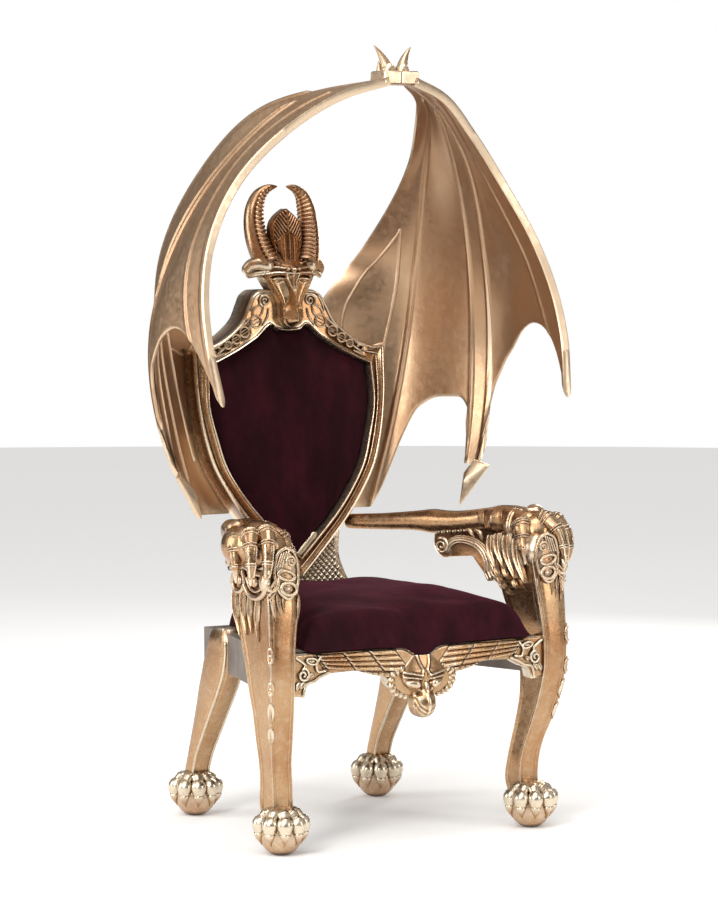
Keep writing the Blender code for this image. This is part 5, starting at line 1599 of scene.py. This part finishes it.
def apron():
    bag = Bag()
    edge_x = [row[0] for row in APRON_EDGE]
    top_of = steady(edge_x, [row[1] * RAIL_TOP for row in APRON_EDGE])
    low_of = steady(edge_x, [row[2] for row in APRON_EDGE])
    xs = np.linspace(-0.3352, 0.3352, 340)
    share = np.linspace(0, 1, 60)
    top = top_of(np.abs(xs)) - 0.0006
    low = low_of(np.abs(xs))
    z = top[:, None] + (low - top)[:, None] * share[None]
    x = np.broadcast_to(xs[:, None], z.shape)
    swell = 0.006 * np.cos(np.minimum(np.abs(x) / 0.25, 1) * math.pi / 2)
    rounded = 0.003 * (1 - smooth(share / 0.05)) + 0.004 * smooth((share - 0.94) / 0.06)
    lift = apron_relief(x, z, top, low)
    drape = 0.006 * np.exp(-((x / 0.045) ** 2)) * smooth((z - 0.395) / 0.02)
    y = -APRON_FRONT - swell - lift + rounded[None] + drape * 0.0
    face = np.stack([x, y, z], axis=-1)
    rings = []
    back = -APRON_FRONT + APRON_THICKNESS
    for k in range(len(xs)):
        rear = [(xs[k], back - 0.012, low[k]), (xs[k], back, low[k] + 0.002), (xs[k], back, top[k]), (xs[k], back - 0.012, top[k])]
        rings.append(np.concatenate([face[k], rear]))
    loft(bag, rings)
    leaf_y = -APRON_FRONT - 0.003

    def at(px, pz, lift=0.0):
        px = np.asarray(px, float)
        pz = np.asarray(pz, float)
        return np.stack([px, np.full(px.shape, leaf_y - lift) - 0.004 * np.cos(np.minimum(np.abs(px) / 0.25, 1) * math.pi / 2), pz], axis=-1)

    for side in (-1, 1):
        def path_at(pairs, lift, count=20):
            pairs = along(curve(pairs)(np.linspace(0, 1, 40)), count)
            return at(side * pairs[:, 0], pairs[:, 1], lift)

        # End leaf: an eye, two C scrolls and a rim along the lower edge
        a = np.linspace(0, 2 * math.pi, 29)
        tube(bag, at(side * (0.283 + 0.013 * np.cos(a)), 0.427 + 0.0065 * np.sin(a) + 0.15 * (0.013 * np.cos(a)), 0.003), 0.0026, 8)
        blob(bag, at(side * 0.283, 0.427, 0.002), (0.0075, 0.003, 0.0040), sides=16, levels=10)
        swirl = spin((0.305, 0.398), math.radians(100), 1.4, 0.0150, 0.003, 36)
        tube(bag, at(side * swirl[:, 0], swirl[:, 1], 0.003), np.linspace(0.0032, 0.0026, 36), 8)
        tube(bag, path_at([(0.262, 0.434), (0.272, 0.418), (0.268, 0.404), (0.250, 0.404)], 0.002), 0.0028, 8)
        tube(bag, path_at([(0.322, 0.436), (0.310, 0.428), (0.300, 0.418), (0.306, 0.410)], 0.002), 0.0028, 8)
        tube(bag, path_at([(0.240, 0.3995), (0.262, 0.391), (0.276, 0.383), (0.296, 0.377), (0.302, 0.362), (0.303, 0.352)], 0.000, 30), 0.0034, 10)
        for base, tip in (((0.300, 0.384), (0.312, 0.366)), ((0.312, 0.384), (0.322, 0.364)), ((0.290, 0.392), (0.276, 0.400))):
            mid = ((base[0] + tip[0]) / 2 + 0.002, (base[1] + tip[1]) / 2)
            petal(bag, at(side * np.array((base[0], mid[0], tip[0])), np.array((base[1], mid[1], tip[1])), 0.0), 0.0055, 0.0055, (0, -1, 0), 0.4, 12)
    return bag


piece("front_apron_carved", apron(), BRIGHT, ["front_apron"], flat_angle=50)


def apron_mask():
    """The beast mask at the apron's middle: double brows, domed cheeks, a round beak and coiled locks."""
    bag = Bag()
    heights = (0.284, 0.290, 0.300, 0.312, 0.325, 0.338, 0.350, 0.362, 0.375, 0.388, 0.398, 0.412, 0.424)
    half_of = steady(heights, (0.006, 0.0175, 0.0250, 0.0285, 0.0285, 0.0275, 0.0360, 0.0480, 0.0550, 0.0560, 0.0500, 0.0360, 0.0240))
    middle = steady(heights, (0.012, 0.0240, 0.0310, 0.0340, 0.0320, 0.0260, 0.0210, 0.0190, 0.0185, 0.0170, 0.0130, 0.0080, 0.0040))

    def place(x, out, z):
        x, out, z = np.broadcast_arrays(x, out, z)
        return np.stack([x, -0.052 - out, z], axis=-1)

    def face(x, z):
        t = np.clip(np.abs(x) / np.maximum(half_of(z), 1e-4), 0, 1)
        stand = 0.002 + middle(z) * np.sqrt(np.maximum(1 - 0.86 * t ** 2.2, 0))
        stand = stand - ridge(x, z, ((0.0430, 0.3480), (0.0280, 0.3430), (0.0150, 0.3400)), 0.0085, 0.0055)
        stand = stand - ridge(x, z, ((0.0130, 0.3660), (0.0110, 0.3500)), 0.0050, 0.0045)
        stand = stand + dome(x, z, 0.0310, 0.3600, 0.0200, 0.0105, 0.0085)
        stand = stand + dome(x, z, 0.0, 0.3530, 0.0060, 0.0120, 0.0065)
        stand = stand + ridge(x, z, ((0.0570, 0.3880), (0.0340, 0.3840), (0.0100, 0.3790)), 0.0060, 0.0030)
        stand = stand + ridge(x, z, ((0.0560, 0.3770), (0.0340, 0.3750), (0.0120, 0.3715)), 0.0060, 0.0028)
        stand = stand + ridge(x, z, ((0.0, 0.3420), (0.0015, 0.3200), (0.0, 0.2960)), 0.0040, 0.0034)
        stand = stand - ridge(x, z, ((0.0270, 0.3300), (0.0190, 0.3120), (0.0040, 0.3000)), 0.0028, 0.0018)
        stand = stand - ridge(x, z, ((0.0280, 0.3180), (0.0190, 0.3010), (0.0040, 0.2920)), 0.0028, 0.0018)
        stand = stand - ridge(x, z, ((0.0160, 0.3400), (0.0240, 0.3340), (0.0285, 0.3290)), 0.0030, 0.0020)
        return stand + ridge(x, z, ((0.0150, 0.4230), (0.0120, 0.4050), (0.0060, 0.3900), (0.0110, 0.3790)), 0.0042, 0.0022)

    loft(bag, relief_grid(half_of, 0.284, 0.424, 121, 140, face, -0.012, place))
    for side in (-1, 1):
        for reach, thick, waves in ((1.0, 0.0090, 8), (0.78, 0.0070, 7)):
            arc = along(curve([(0.055, 0.393), (0.055 + 0.022 * reach, 0.384), (0.055 + 0.0265 * reach, 0.364),
                               (0.055 + 0.015 * reach, 0.345), (0.044, 0.333)])(np.linspace(0, 1, 60)), 90)
            t = np.linspace(0, 1, 90)
            radii = thick * (1 + 0.20 * np.cos(2 * math.pi * waves * t)) * (1 - 0.35 * t)
            tube(bag, np.stack([side * arc[:, 0], np.full(90, -0.053), arc[:, 1]], axis=1), radii, 16)
    return bag


mask = piece("front_apron_mask", apron_mask(), BRIGHT, [], voxel=0.0013, rounds=2)


# Plain rails and the back board keep their solids

for name in ("rear_rail", "side_rail_left", "side_rail_right", "back_board"):
    node = frame["nodes"][name]
    node.data.materials.clear()
    node.data.materials.append(PAINT)


# Studio

def studio():
    turn = 2 * math.pi * np.arange(64) / 64
    rim = [(14.0 * math.cos(a), 14.0 * math.sin(a), 0.0) for a in turn]
    mesh = bpy.data.meshes.new("floor")
    mesh.from_pydata(rim, [], [tuple(range(64))])
    floor = bpy.data.objects.new("floor", mesh)
    bpy.context.scene.collection.objects.link(floor)
    pale = bpy.data.materials.new("pale_floor")
    pale.use_nodes = True
    shader = pale.node_tree.nodes["Principled BSDF"]
    shader.inputs["Base Color"].default_value = (0.93, 0.93, 0.93, 1)
    shader.inputs["Roughness"].default_value = 0.9
    shader.inputs["Specular IOR Level"].default_value = 0.1
    shader.inputs["Emission Color"].default_value = (1, 1, 1, 1)
    shader.inputs["Emission Strength"].default_value = 0.14
    mesh.materials.append(pale)

    world = bpy.data.worlds.new("studio")
    bpy.context.scene.world = world
    world.use_nodes = True
    nodes, links = world.node_tree.nodes, world.node_tree.links
    background = nodes["Background"]
    where = nodes.new("ShaderNodeTexCoord").outputs["Generated"]
    split = nodes.new("ShaderNodeSeparateXYZ")
    links.new(where, split.inputs[0])
    ramp = nodes.new("ShaderNodeValToRGB")
    links.new(spread(nodes, links, split.outputs[2], -1, 1), ramp.inputs[0])
    ramp.color_ramp.elements.remove(ramp.color_ramp.elements[0])
    for place, value in ((0.0, 0.16), (0.50, 0.14), (0.60, 0.24), (0.75, 0.75), (1.0, 1.2)):
        stop = ramp.color_ramp.elements.new(place)
        stop.color = (value, value * 0.97, value * 0.93, 1)
    walls = nodes.new("ShaderNodeValToRGB")
    links.new(spread(nodes, links, split.outputs[0], -1, 1), walls.inputs[0])
    walls.color_ramp.elements.remove(walls.color_ramp.elements[0])
    for place, value in ((0.0, 1.0), (0.22, 0.75), (0.42, 0.25), (0.62, 0.55), (0.78, 0.25), (1.0, 0.8)):
        stop = walls.color_ramp.elements.new(place)
        stop.color = (value, value, value, 1)
    room = mix_colour(nodes, links, 1.0, ramp.outputs[0], walls.outputs[0], "MULTIPLY")
    seen = nodes.new("ShaderNodeLightPath").outputs["Is Camera Ray"]
    links.new(mix_colour(nodes, links, seen, room, (1.0, 1.0, 1.0)), background.inputs[0])
    background.inputs[1].default_value = 1.0

    sun = bpy.data.lights.new("soft_sun", "SUN")
    sun.energy = 0.95
    sun.angle = math.radians(50)
    obj = bpy.data.objects.new("soft_sun", sun)
    obj.rotation_euler = Vector((0.45, 0.55, -1.0)).to_track_quat("-Z", "Y").to_euler()
    bpy.context.scene.collection.objects.link(obj)

    def softbox(name, place, aim, size, power, tint=(1, 1, 1)):
        light = bpy.data.lights.new(name, "AREA")
        light.shape = "RECTANGLE"
        light.size, light.size_y = size
        light.energy = power
        light.color = tint
        obj = bpy.data.objects.new(name, light)
        obj.location = place
        obj.rotation_euler = (Vector(aim) - Vector(place)).to_track_quat("-Z", "Y").to_euler()
        bpy.context.scene.collection.objects.link(obj)

    softbox("key", (-3.4, -2.2, 2.6), (0, 0, 1.0), (0.9, 2.8), 88, (1.0, 0.99, 0.96))
    softbox("fill", (2.4, -4.0, 1.8), (0, 0, 0.9), (0.8, 2.6), 40, (1.0, 0.97, 0.93))
    softbox("top", (0.2, -0.4, 4.2), (0, 0, 0.6), (2.0, 1.4), 45)
    softbox("side", (-4.4, 1.8, 1.9), (0, 0, 1.1), (1.8, 3.0), 75, (1.0, 0.98, 0.97))
    softbox("rim", (2.8, 2.2, 2.2), (0, 0, 0.9), (0.7, 2.2), 40, (1.0, 0.95, 0.88))


studio()

AZ, EL = math.radians(-31.521), math.radians(3.629)
BACK = np.array((math.sin(AZ) * math.cos(EL), -math.cos(AZ) * math.cos(EL), math.sin(EL)))
lens = bpy.data.cameras.new("camera")
lens.sensor_width = 36
lens.lens = 130.708
lens.clip_end = 60
camera = bpy.data.objects.new("camera", lens)
bpy.context.scene.collection.objects.link(camera)
camera.location = Vector(np.array((0, 0.212, 0.863)) + BACK * 7.439 + AHEAD)
camera.rotation_euler = Vector(-BACK).to_track_quat("-Z", "Y").to_euler()
bpy.context.scene.camera = camera
bpy.context.scene.view_settings.view_transform = "Standard"
